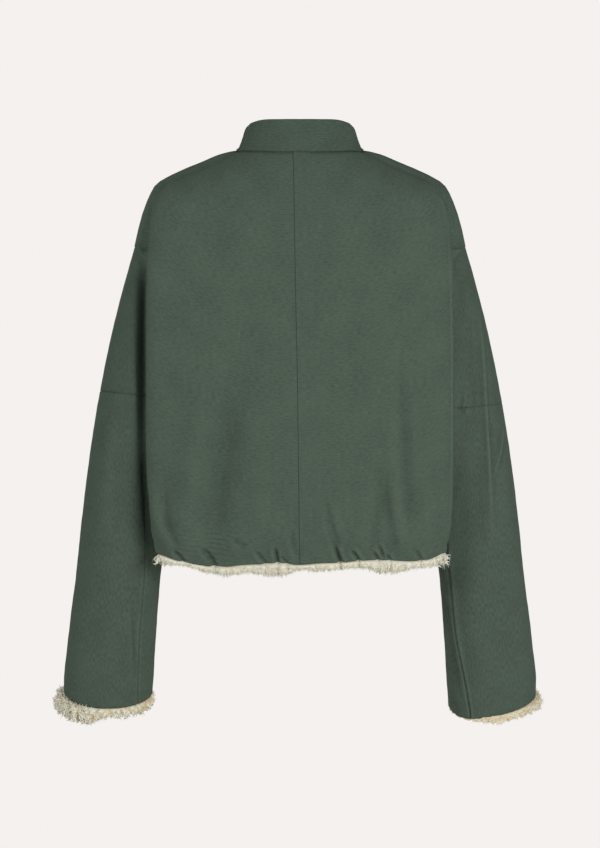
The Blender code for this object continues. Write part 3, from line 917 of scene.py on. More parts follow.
def back_grid(sign):
    start = (strip_middle(BACK_ROWS) * sign + SEAM_GAP)[:, None]
    places = half_places(BACK_ROWS, start, 1, CENTRE_COLUMNS, BACK_COLUMNS)
    grid = body_points(BACK_ROWS, places * sign, 1)
    push = crease_push(grid[..., 0], grid[..., 2], BACK_CREASES)
    push *= smooth(to_side(grid) / SEAM_CALM)
    push += rumple(grid, *BACK_RUMPLE) + seam_push(grid)
    return shifted(grid, push)


for side, sign in SIDES.items():
    grid, push = back_grid(sign)
    cloth_piece("back_" + side, "shell_cloth", grid, push=push, free=("low",))

# %% [markdown]
# ## Fronts
#
# The fronts are hidden in the photograph, so they are finished plainly: the right front laps
# over the left with a clean edge. The overlap is raised by the wall under it, and eases back to
# the body over a few centimetres.

# %% Fronts
FRONT_ROWS = spread((0, 16), (5, 22), (10, 28), (14, 26), HEM)
FRONT_COLUMNS = spread((2, 12), (3, 10), (4, 8), (5, 14), 6)
FRONT_CENTRE_COLUMNS = 44
FRONT_RUMPLE = (0.3, 30, 2.1)
LAP = 15  # how far each front runs past the centre
LAP_BLEND = 22
LAP_LIFT = 3.35


def lap_lift(x):
    """How far the upper layer stands out at x, to clear the layer under it."""
    return LAP_LIFT * smooth((x + LAP + LAP_BLEND) / LAP_BLEND)


def front_grid(side):
    sign = SIDES[side]
    places = half_places(FRONT_ROWS, -LAP, -1, FRONT_CENTRE_COLUMNS, FRONT_COLUMNS)
    grid = body_points(FRONT_ROWS, places * sign, -1)
    push = crease_push(grid[..., 0], grid[..., 2], FRONT_CREASES)
    push += rumple(grid, *FRONT_RUMPLE) + seam_push(grid)
    if side == "right":
        push += lap_lift(grid[..., 0])
    return shifted(grid, push)


for side in SIDES:
    grid, push = front_grid(side)
    cloth_piece("front_" + side, "shell_cloth", grid, push=push, free=("low", "first"))

# %% [markdown]
# ## Centre-back strip
#
# A strip about 2 cm wide covers the centre-back seam. Its left edge is folded and stands proud,
# its right edge lies flatter, and rows of stitching run down it about 3 mm apart, with the cloth
# puffing a little between them. It is made from the back's own points, moved out.

# %% Centre-back strip
STRIP_WIDTH = 21.5
STRIP_WALL = 0.9
STRIP_ROWS = spread((0.03, 90), (10, 60), (15, 20), 15.98)
STRIP_COLUMNS = np.linspace(-0.5, 0.5, 36)
STRIP_STITCH_ROWS = (-0.47, -0.33, -0.19, -0.05, 0.09, 0.23, 0.37, 0.47)
PUFF = 0.28
PUFF_BLEND = 1.4  # how far from a row of stitches the cloth is fully puffed


def puff(distance):
    """How far the cloth stands out at this distance from a row of stitches."""
    return PUFF * (smooth(distance / PUFF_BLEND) - 0.6)


def strip_surface(rings, across):
    """Points of the strip's outer face. across runs from -0.5, the wearer's right, to 0.5."""
    x = strip_middle(rings)[:, None] + across * STRIP_WIDTH
    grid = body_points(rings, place_at_x(rings, x, 1), 1)
    push = crease_push(grid[..., 0], grid[..., 2], BACK_CREASES) + rumple(grid, *BACK_RUMPLE)
    stand = 0.2 + 1.0 * smooth((across + 0.5) * 1.1)
    nearest = np.abs(across[..., None] - np.array(STRIP_STITCH_ROWS)).min(-1) * STRIP_WIDTH
    return shifted(grid, push + stand + puff(nearest))[0]


strip_grid = strip_surface(STRIP_ROWS, STRIP_COLUMNS[None, :])
cloth_piece("back_strip", "shell_cloth", strip_grid, free=("first", "last"), wall=STRIP_WALL)

# %% [markdown]
# ## Collar
#
# The stand collar is one band from front edge to front edge. Thirteen rows of stitching run
# round it, which make it stiff: it stands up on its own, and its upper edge is a clean fold. The
# band is a loft between the neck seam and the top edge, with a shallow hollow at each row.

# %% Collar
# Where its upper edge runs: the side's x and z, and the y and z of the two middles.
COLLAR_TOP = {"back": (60, 41.5), "side": (71, 36), "front": (78, -30)}
# How much higher than the middle that edge is, by the share of the way out to the side.
COLLAR_RISE = ((0, 0), (0.34, 0.4), (0.66, 1.5), (0.88, 0.1), (0.95, -1.6), (1, -4.6))
COLLAR_HOLLOW = 1.2
COLLAR_BOW = (
    # share of the height, how far the band's ends at the shoulders stand out of a straight line
    (-0.05, 0), (0, 0), (0.15, -1.2), (0.35, -1.2), (0.6, -0.9), (0.8, -0.3), (0.93, -0.1),
    (1, -0.4),
)
COLLAR_FLARE = 1.6
COLLAR_DRAWN = 0.7  # how far the seam draws its foot in
COLLAR_TUCK = 0.035  # how far the band runs on below the seam, as a share of its height
COLLAR_LAP = 1.25  # how far the upper end stands out, as a share of the front's lift
COLLAR_LEVELS = np.linspace(-COLLAR_TUCK, 1, 64)
COLLAR_STITCHES = np.linspace(0.06, 0.95, 13)
COLLAR_STEP = 2.7


def collar_foot_and_top(places, way):
    foot = body_points([0], places, way)[0]
    y_mid, z_mid = COLLAR_TOP["back" if way > 0 else "front"]
    x_side, z_side = COLLAR_TOP["side"]
    side = side_points(np.array([0.0]), way)[0]
    middle = body_points([0], [0.0], way)[0, 0]
    if way > 0:
        rise = read(COLLAR_RISE, np.abs(foot[:, 0]) / side[0])[0]
    else:
        share = np.clip((foot[:, 2] - middle[2]) / (side[2] - middle[2]), 0, 1)
        rise = np.sin(share * math.pi / 2) * (z_side - z_mid)
    y_top = foot[:, 1] * y_mid / abs(middle[1])
    return foot, stacked(foot[:, 0] * x_side / side[0], y_top, z_mid + rise)


def collar_stations():
    """(foot, top) all round, from the left front's end to the right front's."""
    start = float(place_at_x([0], -LAP, -1)[0, 0])
    front = collar_foot_and_top(np.linspace(start, 6, 60), -1)
    back = collar_foot_and_top(np.linspace(6, 0, 62), 1)
    left = [np.concatenate([line[:-1], following]) for line, following in zip(front, back)]
    mirror = np.array((-1, 1, 1))
    foot, top = (np.concatenate([line, line[-2::-1] * mirror]) for line in left)
    upper = (np.arange(len(foot)) > len(foot) / 2) & (foot[:, 1] < 0)
    lift = np.where(upper, lap_lift(foot[:, 0]) * COLLAR_LAP, 0)
    out = stacked(0, -lift, 0)
    return foot + out, top + out


def even_columns(foot, top, step):
    """The stations respaced evenly along the foot of the collar."""
    length = lengths_along(foot[None], 1)[0]
    wanted = np.linspace(0, length[-1], int(length[-1] / step))
    lines = ([np.interp(wanted, length, axis) for axis in line.T] for line in (foot, top))
    return [stacked(*line) for line in lines]


def collar_surface(levels):
    foot, top = even_columns(*collar_stations(), COLLAR_STEP)
    levels = np.asarray(levels)[:, None]
    grid = foot + (top - foot) * levels[..., None]
    height = np.linalg.norm(top - foot, axis=-1)
    nearest = np.abs(levels - COLLAR_STITCHES).min(1)[:, None] * height
    hollow = -COLLAR_HOLLOW * np.sin(math.pi * np.clip(levels, 0, 1))
    by_shoulder = smooth((np.abs(foot[:, 0]) - 55) / 27)
    bow = hollow + by_shoulder * (read(COLLAR_BOW, levels)[0] - hollow)
    near_foot = np.exp(-((levels * height / 2.4) ** 2))
    flare = (COLLAR_FLARE * by_shoulder - COLLAR_DRAWN) * near_foot
    return shifted(grid, puff(nearest) + bow + flare - 1.2 * (levels < 0))[0]


collar_grid = collar_surface(COLLAR_LEVELS)[::-1]
cloth_piece("collar", "collar_cloth", collar_grid, free=("top", "first", "last"))

# %% [markdown]
# ## Sleeves
#
# A sleeve is a tube in two lengths, joined at an elbow seam, with another seam down the lower
# length. Four lines steer it: the outer and inner sides, the back and the front. Each ring
# crosses them at its own heights, so the cuff can droop at the back as it does in the picture.

# %% Sleeve form
SLEEVE = (
    # z, x_out, x_in, y_back, y_front
    (-120, 216, 160, 46, -62), (-170, 230.3, 154, 51, -67), (-240, 247.3, 151.5, 57, -68),
    (-285, 256.3, 146.5, 61, -69), (-322, 263.3, 144, 63, -69), (-400, 275.3, 157, 60, -69),
    (-480, 285.3, 170.5, 53, -71), (-543, 292.3, 182, 44, -75), (-600, 300.3, 187, 35, -80),
    (-640, 305.3, 190, 28, -84), (-684, 310.3, 193, 17, -90), (-720, 310.3, 196, 9, -94),
)
SLEEVE_RINGS = (
    # out, back, in, front
    (-150, -202, -258, -202),
    (-195, -238, -278, -238),
    (-250, -272, -296, -272),
)
ELBOW = {"left": (-303, -310, -313, -308), "right": (-319, -326, -327, -324)}
CUFF = {"left": (-697, -715, -700, -684), "right": (-700, -721, -712, -692)}
CUFF_EASE = {
    # degrees round from the outer side through the back, how much lower the cuff hangs here
    "left": ((0, 0), (180, 0), (360, 0)),
    "right": (
        (0, 0), (45, 1), (70, 2.5), (100, 4), (120, 7.5), (140, 8.5), (165, 5), (200, 1), (360, 0),
    ),
}
CAP_BLEND = 0.45
UPPER_ROWS = 54
LOWER_ROWS = 92
# Columns in degrees round from the outer side: closer together along the lengthwise seam.
ANGLES = np.radians(spread((0, 58), (104, 48), (142, 48), 360)[:-1])
TUCK = 0.1  # how far the sleeve runs on under the armhole, in steps between its rings


def sleeve_ring(heights, angles):
    """Points of the sleeve ring that crosses the four lines at these heights."""
    z_out, z_back, z_in, z_front = heights
    lines = np.array([read(SLEEVE, z) for z in heights])
    x_mid = (lines[:, 0] + lines[:, 1]) / 2
    y_mid = (lines[:, 2] + lines[:, 3]) / 2
    return four_point_loop(
        (lines[0, 0], y_mid[0], z_out),
        (x_mid[1], lines[1, 2], z_back),
        (lines[2, 1], y_mid[2], z_in),
        (x_mid[3], lines[3, 3], z_front),
        angles,
    )


def cuff_ease(side, angles):
    return stacked(0, 0, -read(CUFF_EASE[side], np.degrees(angles) % 360)[0])


def sleeve_form(side, part):
    """The plain tube of a wearer's-left sleeve, with this side's elbow and cuff."""
    elbow = np.array(ELBOW[side], float)
    cuff = np.array(CUFF[side], float)
    if part == "lower":
        shares = np.linspace(-0.005, 1, LOWER_ROWS)
        plain = np.stack([sleeve_ring(elbow + (cuff - elbow) * s, ANGLES) for s in shares])
        return plain + cuff_ease(side, ANGLES) * np.clip(shares, 0, 1)[:, None, None] ** 6
    top = four_point_loop(*ARMHOLE, ANGLES)
    rings = [sleeve_ring(heights, ANGLES) for heights in SLEEVE_RINGS]
    keys = [top, top + (rings[0] - top) * CAP_BLEND] + rings + [sleeve_ring(elbow, ANGLES)]
    beyond = sleeve_ring(elbow + (cuff - elbow) * 0.1, ANGLES)
    keys = np.stack([2 * keys[0] - keys[1]] + keys + [beyond], 1)
    places = np.concatenate([[1 - TUCK], np.linspace(1, keys.shape[1] - 2, UPPER_ROWS)])
    grid = spline(keys, np.broadcast_to(places, (len(ANGLES), len(places))))
    return np.swapaxes(grid, 0, 1)


print("sleeve columns:", len(ANGLES))

# %% [markdown]
# ## Creases of the sleeves
#
# The arm's cloth has one long ridge down the back, a trough where it meets the body, and small
# puckers along the elbow seam, where one edge was a little longer than the other. The lower
# seam is a fine groove with a raised lip beside it. The tables use the wearer's left side, and
# each sleeve has its own, since no two sleeves fall alike.

# %% Sleeves
SLEEVE_CREASES = {
    "left": (
        # x0, z0, x1, z1, x2, z2, depth, width, deepest, lip
        (203, -110, 200, -240, 198, -420, -12, 7, 0.45, 0),
        (198, -380, 196, -450, 192, -530, -6, 5, 0.3, 0),
        (226, -170, 230, -240, 228, -305, -2.0, 9, 0.5, 0.4),
        (243, -320, 246, -400, 252, -480, 1.6, 12, 0.5, 0),
        (229, -330, 232, -420, 236, -510, -1.6, 10, 0.5, 0.4),
        (272, -380, 276, -460, 278, -540, -1.6, 12, 0.5, 0.3),
        (230, -555, 216, -560, 202, -567, -2.2, 4, 0.5, 0.4),
        (216, -570, 214, -630, 212, -695, -1.4, 3.6, 0.5, 0.3),
        (252, -520, 258, -600, 262, -700, -1.6, 14, 0.5, 0.3),
        (284, -540, 288, -620, 290, -700, 1.2, 12, 0.5, 0),
        (258, -300, 246, -306, 234, -309, -0.7, 4, 0.5, 0),
    ),
    "right": (
        # x0, z0, x1, z1, x2, z2, depth, width, deepest, lip
        (228, -175, 236, -320, 246, -480, 4.4, 2.8, 0.5, 0.3),
        (263, -345, 257, -378, 247, -412, 2.6, 2.4, 0.5, 0.3),
        (200, -150, 204, -190, 200, -240, -2.6, 8, 0.5, 0),
        (199, -395, 197, -420, 194, -455, -3.2, 7, 0.5, 0),
        (190, -140, 190, -350, 187, -620, 10.5, 13, 0.5, 0),
        (214, -180, 218, -270, 222, -355, -2.2, 8, 0.5, 0.4),
        (252, -220, 258, -300, 262, -410, -1.8, 9, 0.5, 0.3),
        (224, -350, 229, -430, 234, -520, -2.2, 10, 0.5, 0.4),
        (256, -330, 262, -420, 270, -530, 1.4, 8, 0.5, 0),
        (240, -510, 246, -600, 252, -700, -1.6, 14, 0.5, 0.3),
        (272, -520, 278, -600, 284, -690, 1.2, 12, 0.5, 0),
        (207, -308, 205, -322, 201, -336, -2.6, 3.0, 0.5, 0.4),
        (215, -316, 210, -326, 206, -335, -2.2, 2.6, 0.5, 0.4),
        (185, -545, 194, -618, 208, -700, -7.0, 4.2, 0.5, 0.4),
        (196, -690, 199, -705, 206, -722, -2.0, 3.0, 0.6, 0.3),
        (215, -124, 208, -121, 202, -118, -1.2, 1.8, 0.5, 0.3),
    ),
}
SLEEVE_FRONT_CREASES = (
    # x0, z0, x1, z1, x2, z2, depth, width, deepest, lip
    (226, -190, 232, -262, 240, -330, 1.8, 8, 0.5, 0),
    (244, -340, 240, -420, 252, -500, -2.0, 9, 0.5, 0.4),
    (268, -460, 262, -540, 274, -640, -1.9, 10, 0.5, 0.4),
    (214, -200, 220, -280, 216, -350, -1.9, 9, 0.5, -0.4),
    (232, -560, 240, -620, 236, -680, -1.6, 9, 0.5, 0.3),
)
LOWER_SEAM = {
    # the seam's line on the back of the lower sleeve: z, x
    "left": ((-700, 211), (-620, 207), (-540, 200), (-310, 190)),
    "right": ((-722, 221), (-664, 211), (-619, 203), (-583, 199), (-531, 194), (-320, 184)),
}
SEAM_GROOVE = {"left": 0.35, "right": 1.0}
ELBOW_DIP = {"left": 0.32, "right": 0.07}
PUCKERS = 34
# How far the first row of each part goes in under the part above it.
UNDER_ARMHOLE, UNDER_ELBOW = 1.6, 1.2


def facing(normals, way):
    return smooth(2.2 * way * normals[..., 1])


def pucker(angles, distance, side):
    """Small ridges across the elbow seam, of unlike height, that fade within a centimetre."""
    turn = angles + 0.13 * np.sin(3 * angles)
    ridge = np.sin(PUCKERS * turn) * (0.55 + 0.45 * np.sin(5 * angles + SIDES[side]))
    return 0.34 * ridge * np.exp(-((distance / 7) ** 2))


def seam_groove(grid, normals, side):
    """The lengthwise seam: a fine groove with a soft lip on its outer side."""
    off = grid[..., 0] - read(LOWER_SEAM[side], grid[..., 2])[0]
    groove = -1.9 * np.exp(-((off / 1.2) ** 2)) + 0.8 * np.exp(-(((off - 3.2) / 2.2) ** 2))
    return SEAM_GROOVE[side] * groove * facing(normals, 1)


def sleeve_grid(side, part):
    grid = sleeve_form(side, part)
    normals = normals_of(grid, closed=True)
    x, z = grid[..., 0], grid[..., 2]
    down = lengths_along(grid, 0)
    elbow = down[-1] - down if part == "upper" else down
    push = crease_push(x, z, SLEEVE_CREASES[side]) * facing(normals, 1)
    push += crease_push(x, z, SLEEVE_FRONT_CREASES) * facing(normals, -1)
    push += seam_dip(elbow, ELBOW_DIP[side], 0.9) + pucker(ANGLES, elbow, side)
    if part == "upper":
        push *= smooth((down - down[1]) / SEAM_CALM)
    push += rumple(grid, 0.28, 28, 3.3 + SIDES[side])
    if part == "upper":
        push[0] -= UNDER_ARMHOLE
        push += seam_dip(down - down[1], 0.2)
    else:
        push[0] -= UNDER_ELBOW
        push += seam_groove(grid, normals, side)
    grid = grid + normals * push[..., None]
    return grid * np.array((SIDES[side], 1, 1)), push


for side in SIDES:
    for part in ("upper", "lower"):
        node = f"sleeve_{part}_{side}"
        free = ("low",) if part == "lower" else ()
        grid, push = sleeve_grid(side, part)
        cloth_piece(node, "sleeve_cloth", grid, closed=True, push=push, free=free)

# %% [markdown]
# ## Stitches
#
# One stitch is a small bead of thread, sunk half into the cloth. There are a few thousand, in
# rows, so Geometry Nodes lay them: the rows are lines of points, the tree respaces each line by
# the stitch length and puts a bead at every point, turned along the line. The tree ends in real
# geometry, which becomes an ordinary mesh.

# %% Stitch tree
STITCH = {"Pitch": 2.9 * MM, "Length": 2.1 * MM, "Width": 0.5 * MM}


def new_tree(name, inputs):
    """A Geometry Nodes tree with these named inputs, and the sockets that give them."""
    tree = bpy.data.node_groups.new(name, "GeometryNodeTree")
    for way in ("INPUT", "OUTPUT"):
        tree.interface.new_socket("Geometry", in_out=way, socket_type="NodeSocketGeometry")
    for title, kind in inputs.items():
        tree.interface.new_socket(title, in_out="INPUT", socket_type="NodeSocket" + kind)
    return tree, tree.nodes.new("NodeGroupInput").outputs


def end_tree(tree, instances, material):
    """Makes the instances real, smooth and of this material, as what the tree gives."""
    solid = add(tree, "GeometryNodeRealizeInstances", {"Geometry": instances})
    solid = add(tree, "GeometryNodeSetShadeSmooth", {"Geometry": solid})
    solid = add(tree, "GeometryNodeSetMaterial", {"Geometry": solid, "Material": material})
    add(tree, "NodeGroupOutput", {"Geometry": solid})


def upright_along(tree, way):
    """The turn that lays a thing's own height along this way."""
    return add(tree, "FunctionNodeAlignRotationToVector", {"Vector": way}, axis="Z")


def stitch_tree():
    inputs = dict.fromkeys(STITCH, "Float")
    tree, given = new_tree("stitches", {**inputs, "Material": "Material"})
    lines = add(tree, "GeometryNodeMeshToCurve", {"Mesh": given["Geometry"]})
    row = {"Curve": lines, "Length": given["Pitch"]}
    width, length = given["Width"], given["Length"]
    beads = {
        "Points": add(tree, "GeometryNodeResampleCurve", row, mode="LENGTH"),
        "Instance": add(tree, "GeometryNodeMeshIcoSphere", {"Radius": 0.5, "Subdivisions": 1}),
        "Rotation": upright_along(tree, add(tree, "GeometryNodeInputTangent")),
        "Scale": add(tree, "ShaderNodeCombineXYZ", {"X": width, "Y": width, "Z": length}),
    }
    end_tree(tree, add(tree, "GeometryNodeInstanceOnPoints", beads), given["Material"])
    return tree


def baked(name, carrier, tree, values):
    """Runs the tree on the carrier with these inputs, and returns a plain mesh object."""
    modifier = carrier.modifiers.new(name, "NODES")
    modifier.node_group = tree
    for item in tree.interface.items_tree:
        if item.in_out == "INPUT" and item.name in values:
            modifier[item.identifier] = values[item.name]
    graph = bpy.context.evaluated_depsgraph_get()
    mesh = bpy.data.meshes.new_from_object(carrier.evaluated_get(graph))
    mesh.name = name
    bpy.data.objects.remove(carrier)
    print(f"{name}: {sum(len(p.vertices) - 2 for p in mesh.polygons)} triangles")
    return linked(name, mesh)


def line_object(name, lines):
    """A mesh of open lines of points."""
    ends = np.cumsum([len(line) for line in lines])
    edges = [(i, i + 1) for i in range(ends[-1]) if i + 1 not in ends]
    return plain_object(name, np.concatenate(lines), edges=edges)


stitches = stitch_tree()
print("stitch tree:", len(stitches.nodes), "nodes")

# %% [markdown]
# ## Rows of stitches
#
# The strip has a row along each edge and more between them, and the collar has thirteen. Every
# row is read from the same surface as the cloth under it, so the beads sit in the hollows.

# %% Rows of stitches
def stitch_piece(name, lines):
    carrier = line_object(name + "_lines", lines)
    obj = baked(name, carrier, stitches, {**STITCH, "Material": thread})
    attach(obj, "root")


strip_rows = strip_surface(STRIP_ROWS, np.array(STRIP_STITCH_ROWS)[None, :])
stitch_piece("stitches_strip", list(strip_rows.swapaxes(0, 1)))
stitch_piece("stitches_collar", list(collar_surface(COLLAR_STITCHES)))
print("rows of stitches:", len(STRIP_STITCH_ROWS) + len(COLLAR_STITCHES))

# %% [markdown]
# ## Pile: the base
#
# Curly pile is dense at its root and open at its tips. A lumpy band of the pile's own section
# fills the root, and thousands of curled strands grow from it. The band is swept along the
# cloth's edge. How far it hangs changes from place to place, which gives the ragged lower line.

# %% Pile base
HEM_SECTION = (
    # out from the cloth's face, height over its edge
    (-11, 16), (-4.2, 16), (-4.0, 1.6), (-2.6, -0.7), (-0.6, -2.4), (-0.4, -5.5), (-2.6, -8),
    (-6.5, -7.8), (-10.5, -3),
)
HEM_DROP = (
    # x, how far the tips of the pile hang below the back's edge
    (-200, 12), (-173, 12), (-147, 10), (-125, 16), (-104, 17), (-78, 11), (-53, 9.6), (-25, 11.4),
    (-1, 8.2), (28, 17.5), (67, 11.5), (87, 12.6), (115, 10), (140, 7), (173, 11), (200, 12),
)
SECTION_POINTS = 30
HEM_RING_DROP = 30  # how far apart the last rings are
SLOPE_STEP = 0.02  # how far apart points are read for a slope, in places or in radians


def round_section(section, count):
    """The section as a smooth closed loop of so many points."""
    corners = len(section)
    keys = np.stack([stacked(*section[i % corners], 0) for i in range(-1, corners + 2)])
    places = np.linspace(1, corners + 1, count, endpoint=False)
    return spline(keys[None], places[None])[0][:, :2]


def lumps(points, height, size):
    """Uneven lumps with sharp valleys, like the heads of curls, as a distance for each point."""
    values = [abs(noise.noise(Vector(point) / size)) for point in points.reshape(-1, 3)]
    return height * (2 * np.sqrt(np.array(values).reshape(points.shape[:-1])) - 0.8)


def hem_stations(places, way):
    """Where each section of the hem's band starts, for every height over the edge."""

    def at(up):
        ring = np.full(1, HEM - up / HEM_RING_DROP)
        here, after, past, above = (
            body_points(ring - higher, places + further, way)[0]
            for higher, further in ((0, 0), (0, SLOPE_STEP), (0, -SLOPE_STEP), (0.05, 0))
        )
        normal = np.cross(after - past, here - above) * way
        if up <= 0:
            normal[:, 2] = 0
        normal /= np.linalg.norm(normal, axis=-1, keepdims=True)
        table = BACK_CREASES if way > 0 else FRONT_CREASES
        push = np.minimum(crease_push(here[:, 0], here[:, 2], table), 0)
        return here + normal * push[:, None], normal

    return at


def band_points(section, at, drop, flare):
    """The band's grid of points: (section point, station, xyz)."""
    rows = []
    for out, up in section:
        foot, normal = at(max(up, 0))
        lower = stacked(0, 0, min(up, 0) * drop)
        reach = out * np.where(out > 0, flare, 1)
        rows.append(foot + normal * reach[:, None] + lower)
    return np.stack(rows)


print("hem section:", len(HEM_SECTION), "points")

# %% [markdown]
# ## Pile: the strands
#
# Each strand is a short three-sided tube on a spiral, thick at its root and fine at its tip.
# Geometry Nodes scatter them over the band, bend each one the way that the pile lies there, and
# turn it by chance, always from the same seed. A noise that is larger than a strand bends
# neighbours alike, so that they gather in locks.

# %% Strand tree
STRAND_KINDS = (
    # turns, height, radius of the curl at the root and at the tip, in strand lengths, thickness
    (1.0, 0.80, 0.02, 0.22, 1.0),
    (1.25, 0.62, 0.03, 0.26, 1.25),
    (0.5, 1.0, 0.02, 0.24, 0.45),
)
STRAND_POINTS_A_TURN = 12
STRAND_POINTS = 5
STRAND_SIDES = 3
STRAND_INPUTS = {
    "Density": "Float",
    "Thickness": "Float",
    "Curl": "Float",
    "Lock Size": "Float",
    "Lock Bend": "Float",
    "Seed": "Int",
    "Material": "Material",
}
STRAY = 0.2  # how far chance bends a strand from its lock
SIZES = (0.6, 1.45)  # the least and the greatest size of a strand, as shares of its reach
# Where a random value of each kind has its least, its greatest and its result.
RANDOM_SOCKETS = {"FLOAT_VECTOR": (0, 1, 0), "FLOAT": (2, 3, 1), "INT": (4, 5, 2)}


def stored(tree, geometry, name, value):
    inputs = {"Geometry": geometry, "Name": name, "Value": value}
    settings = {"data_type": "FLOAT", "domain": "POINT"}
    return add(tree, "GeometryNodeStoreNamedAttribute", inputs, **settings)


def read_back(tree, name, kind="FLOAT"):
    inputs = {"Name": name}
    return add(tree, "GeometryNodeInputNamedAttribute", inputs, "Attribute", data_type=kind)


def random_of(tree, seed, kind, least, greatest):
    low, high, out = RANDOM_SOCKETS[kind]
    inputs = {low: least, high: greatest, "Seed": seed}
    return add(tree, "FunctionNodeRandomValue", inputs, out, data_type=kind)


def vector_of(tree, operation, first, second, socket=1):
    return add(tree, "ShaderNodeVectorMath", {0: first, socket: second}, operation=operation)


def one_strand(tree, kind, thickness, curl):
    """A spiral tube that gets thinner along its way, wrapped up as one instance."""
    turns, height, root, tip, stoutness = kind
    form = {
        "Resolution": STRAND_POINTS_A_TURN,
        "Rotations": turns,
        "Start Radius": root,
        "End Radius": math_of(tree, "MULTIPLY", tip, curl),
        "Height": height,
    }
    spiral = add(tree, "GeometryNodeCurveSpiral", form)
    even = add(tree, "GeometryNodeResampleCurve", {"Curve": spiral, "Count": STRAND_POINTS})
    along = add(tree, "GeometryNodeSplineParameter")
    left = math_of(tree, "SUBTRACT", 1.12, along)
    stout = math_of(tree, "MULTIPLY", thickness, stoutness)
    ring = add(tree, "GeometryNodeCurvePrimitiveCircle", {"Resolution": STRAND_SIDES})
    tube = {
        "Curve": stored(tree, even, "along", along),
        "Profile Curve": ring,
        "Scale": math_of(tree, "MULTIPLY", left, stout),
        "Fill Caps": True,
    }
    mesh = add(tree, "GeometryNodeCurveToMesh", tube)
    return add(tree, "GeometryNodeGeometryToInstance", {"Geometry": mesh})


def strand_turn(tree, given):
    """Each strand follows the pile's lie, its lock and a little chance, and turns on itself."""
    seed = given["Seed"]
    scale = {"Scale": given["Lock Size"], "Detail": 1.0}
    field = add(tree, "ShaderNodeTexNoise", scale, "Color", noise_dimensions="3D")
    centred = vector_of(tree, "SUBTRACT", field, (0.5, 0.5, 0.5))
    bend = vector_of(tree, "SCALE", centred, given["Lock Bend"], "Scale")
    way = vector_of(tree, "ADD", read_back(tree, "lie", "FLOAT_VECTOR"), bend)
    stray = random_of(tree, seed, "FLOAT_VECTOR", (-STRAY,) * 3, (STRAY,) * 3)
    way = vector_of(tree, "ADD", way, stray)
    angle = random_of(tree, seed, "FLOAT", 0.0, 2 * math.pi)
    turn = add(tree, "ShaderNodeCombineXYZ", {"Z": angle})
    spin = add(tree, "FunctionNodeEulerToRotation", {0: turn})
    turns = {0: upright_along(tree, way), 1: spin}
    return add(tree, "FunctionNodeRotateRotation", turns, rotation_space="LOCAL")


def strand_tree():
    tree, given = new_tree("pile_strands", STRAND_INPUTS)
    seed = given["Seed"]
    density = math_of(tree, "MULTIPLY", given["Density"], read_back(tree, "amount"))
    growth = {"Mesh": given["Geometry"], "Density": density, "Seed": seed}
    roots = add(tree, "GeometryNodeDistributePointsOnFaces", growth)
    kinds = tree.nodes.new("GeometryNodeJoinGeometry")
    for kind in STRAND_KINDS:
        strand = one_strand(tree, kind, given["Thickness"], given["Curl"])
        tree.links.new(strand, kinds.inputs["Geometry"])
    size = random_of(tree, seed, "FLOAT", *SIZES)
    strands = {
        "Points": stored(tree, roots, "tone", random_of(tree, seed, "FLOAT", 0.0, 1.0)),
        "Instance": kinds.outputs["Geometry"],
        "Pick Instance": True,
        "Instance Index": random_of(tree, seed, "INT", 0, len(STRAND_KINDS) - 1),
        "Rotation": strand_turn(tree, given),
        "Scale": math_of(tree, "MULTIPLY", read_back(tree, "reach"), size),
    }
    end_tree(tree, add(tree, "GeometryNodeInstanceOnPoints", strands), given["Material"])
    return tree


strand_nodes = strand_tree()
print("strand tree:", len(strand_nodes.nodes), "nodes")

# %% [markdown]
# ## Pile on the hem
#
# The base and its strands are two pieces for each stretch: the back of the hem, its two fronts
# and each cuff. The base also says, for each of its points, how many strands grow there, how
# long they are, which way they lie, and whether the point is on the head of a curl.

# %% Pile pieces
HAIR = 0.58  # a lock's radius at its root
LOCK_SIZE = 210.0  # changes of the noise that bends the locks, in a metre
HEM_HAIR = 6.0
HEM_CURL = 5.0
BACK_LOCKS = (3.9e5, HEM_HAIR, 0.7, 1.3)  # strands to a square metre, length, curl, bend
FRONT_LOCKS = (2.6e5, HEM_HAIR, 0.7, 1.3)
BACK_SEED, FRONT_SEED = 11, 21
HEM_END = 5.95  # the place where the hem's pile ends beside the side seam
HEM_CORNER = 172  # from this far out the hem's tips turn up and out


def band_mesh(name, points, closed, amount, reach, comb, head):
    """The lumpy base as a closed mesh that also carries what the strands need to know."""
    shape = points.shape[:2]
    index = np.arange(shape[0] * shape[1]).reshape(shape)
    index = wrapped(np.concatenate([index, index[:1]], 0), closed)
    quads = quads_of(index)
    faces = quads.tolist()
    if not closed:
        faces += [index[:-1, 0].tolist(), index[:-1, -1][::-1].tolist()]
    flat = points.reshape(-1, 3)
    obj = plain_object(name, flat, faces)
    mesh = obj.data
    if inside_out(flat, quads):
        mesh.flip_normals()
    mesh.materials.append(pile_base)
    mesh.shade_smooth()
    normals = np.array([tuple(v.normal) for v in mesh.vertices])
    give(obj, "lie", normals * 0.55 + comb.reshape(-1, 3), "FLOAT_VECTOR")
    for title, values in (("amount", amount), ("reach", reach * MM), ("head", head)):
        give(obj, title, np.broadcast_to(values, shape))
    return obj


def pile_pieces(place, base, density, length, curl, bend, seed):
    """The base keeps the solid's place, and the strands grow from a copy of it."""
    name = "pile_" + place
    values = {
        "Density": density,
        "Thickness": HAIR / length,
        "Curl": curl,
        "Lock Size": LOCK_SIZE,
        "Lock Bend": bend,
        "Seed": seed,
        "Material": pile_strands,
    }
    carrier = linked(name + "_carrier", base.data.copy())
    strands = baked(name + "_strands", carrier, strand_nodes, values)
    for obj in (base, strands):
        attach(obj, "root")
        pieces_made.append(obj)
    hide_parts("fur_" + place)


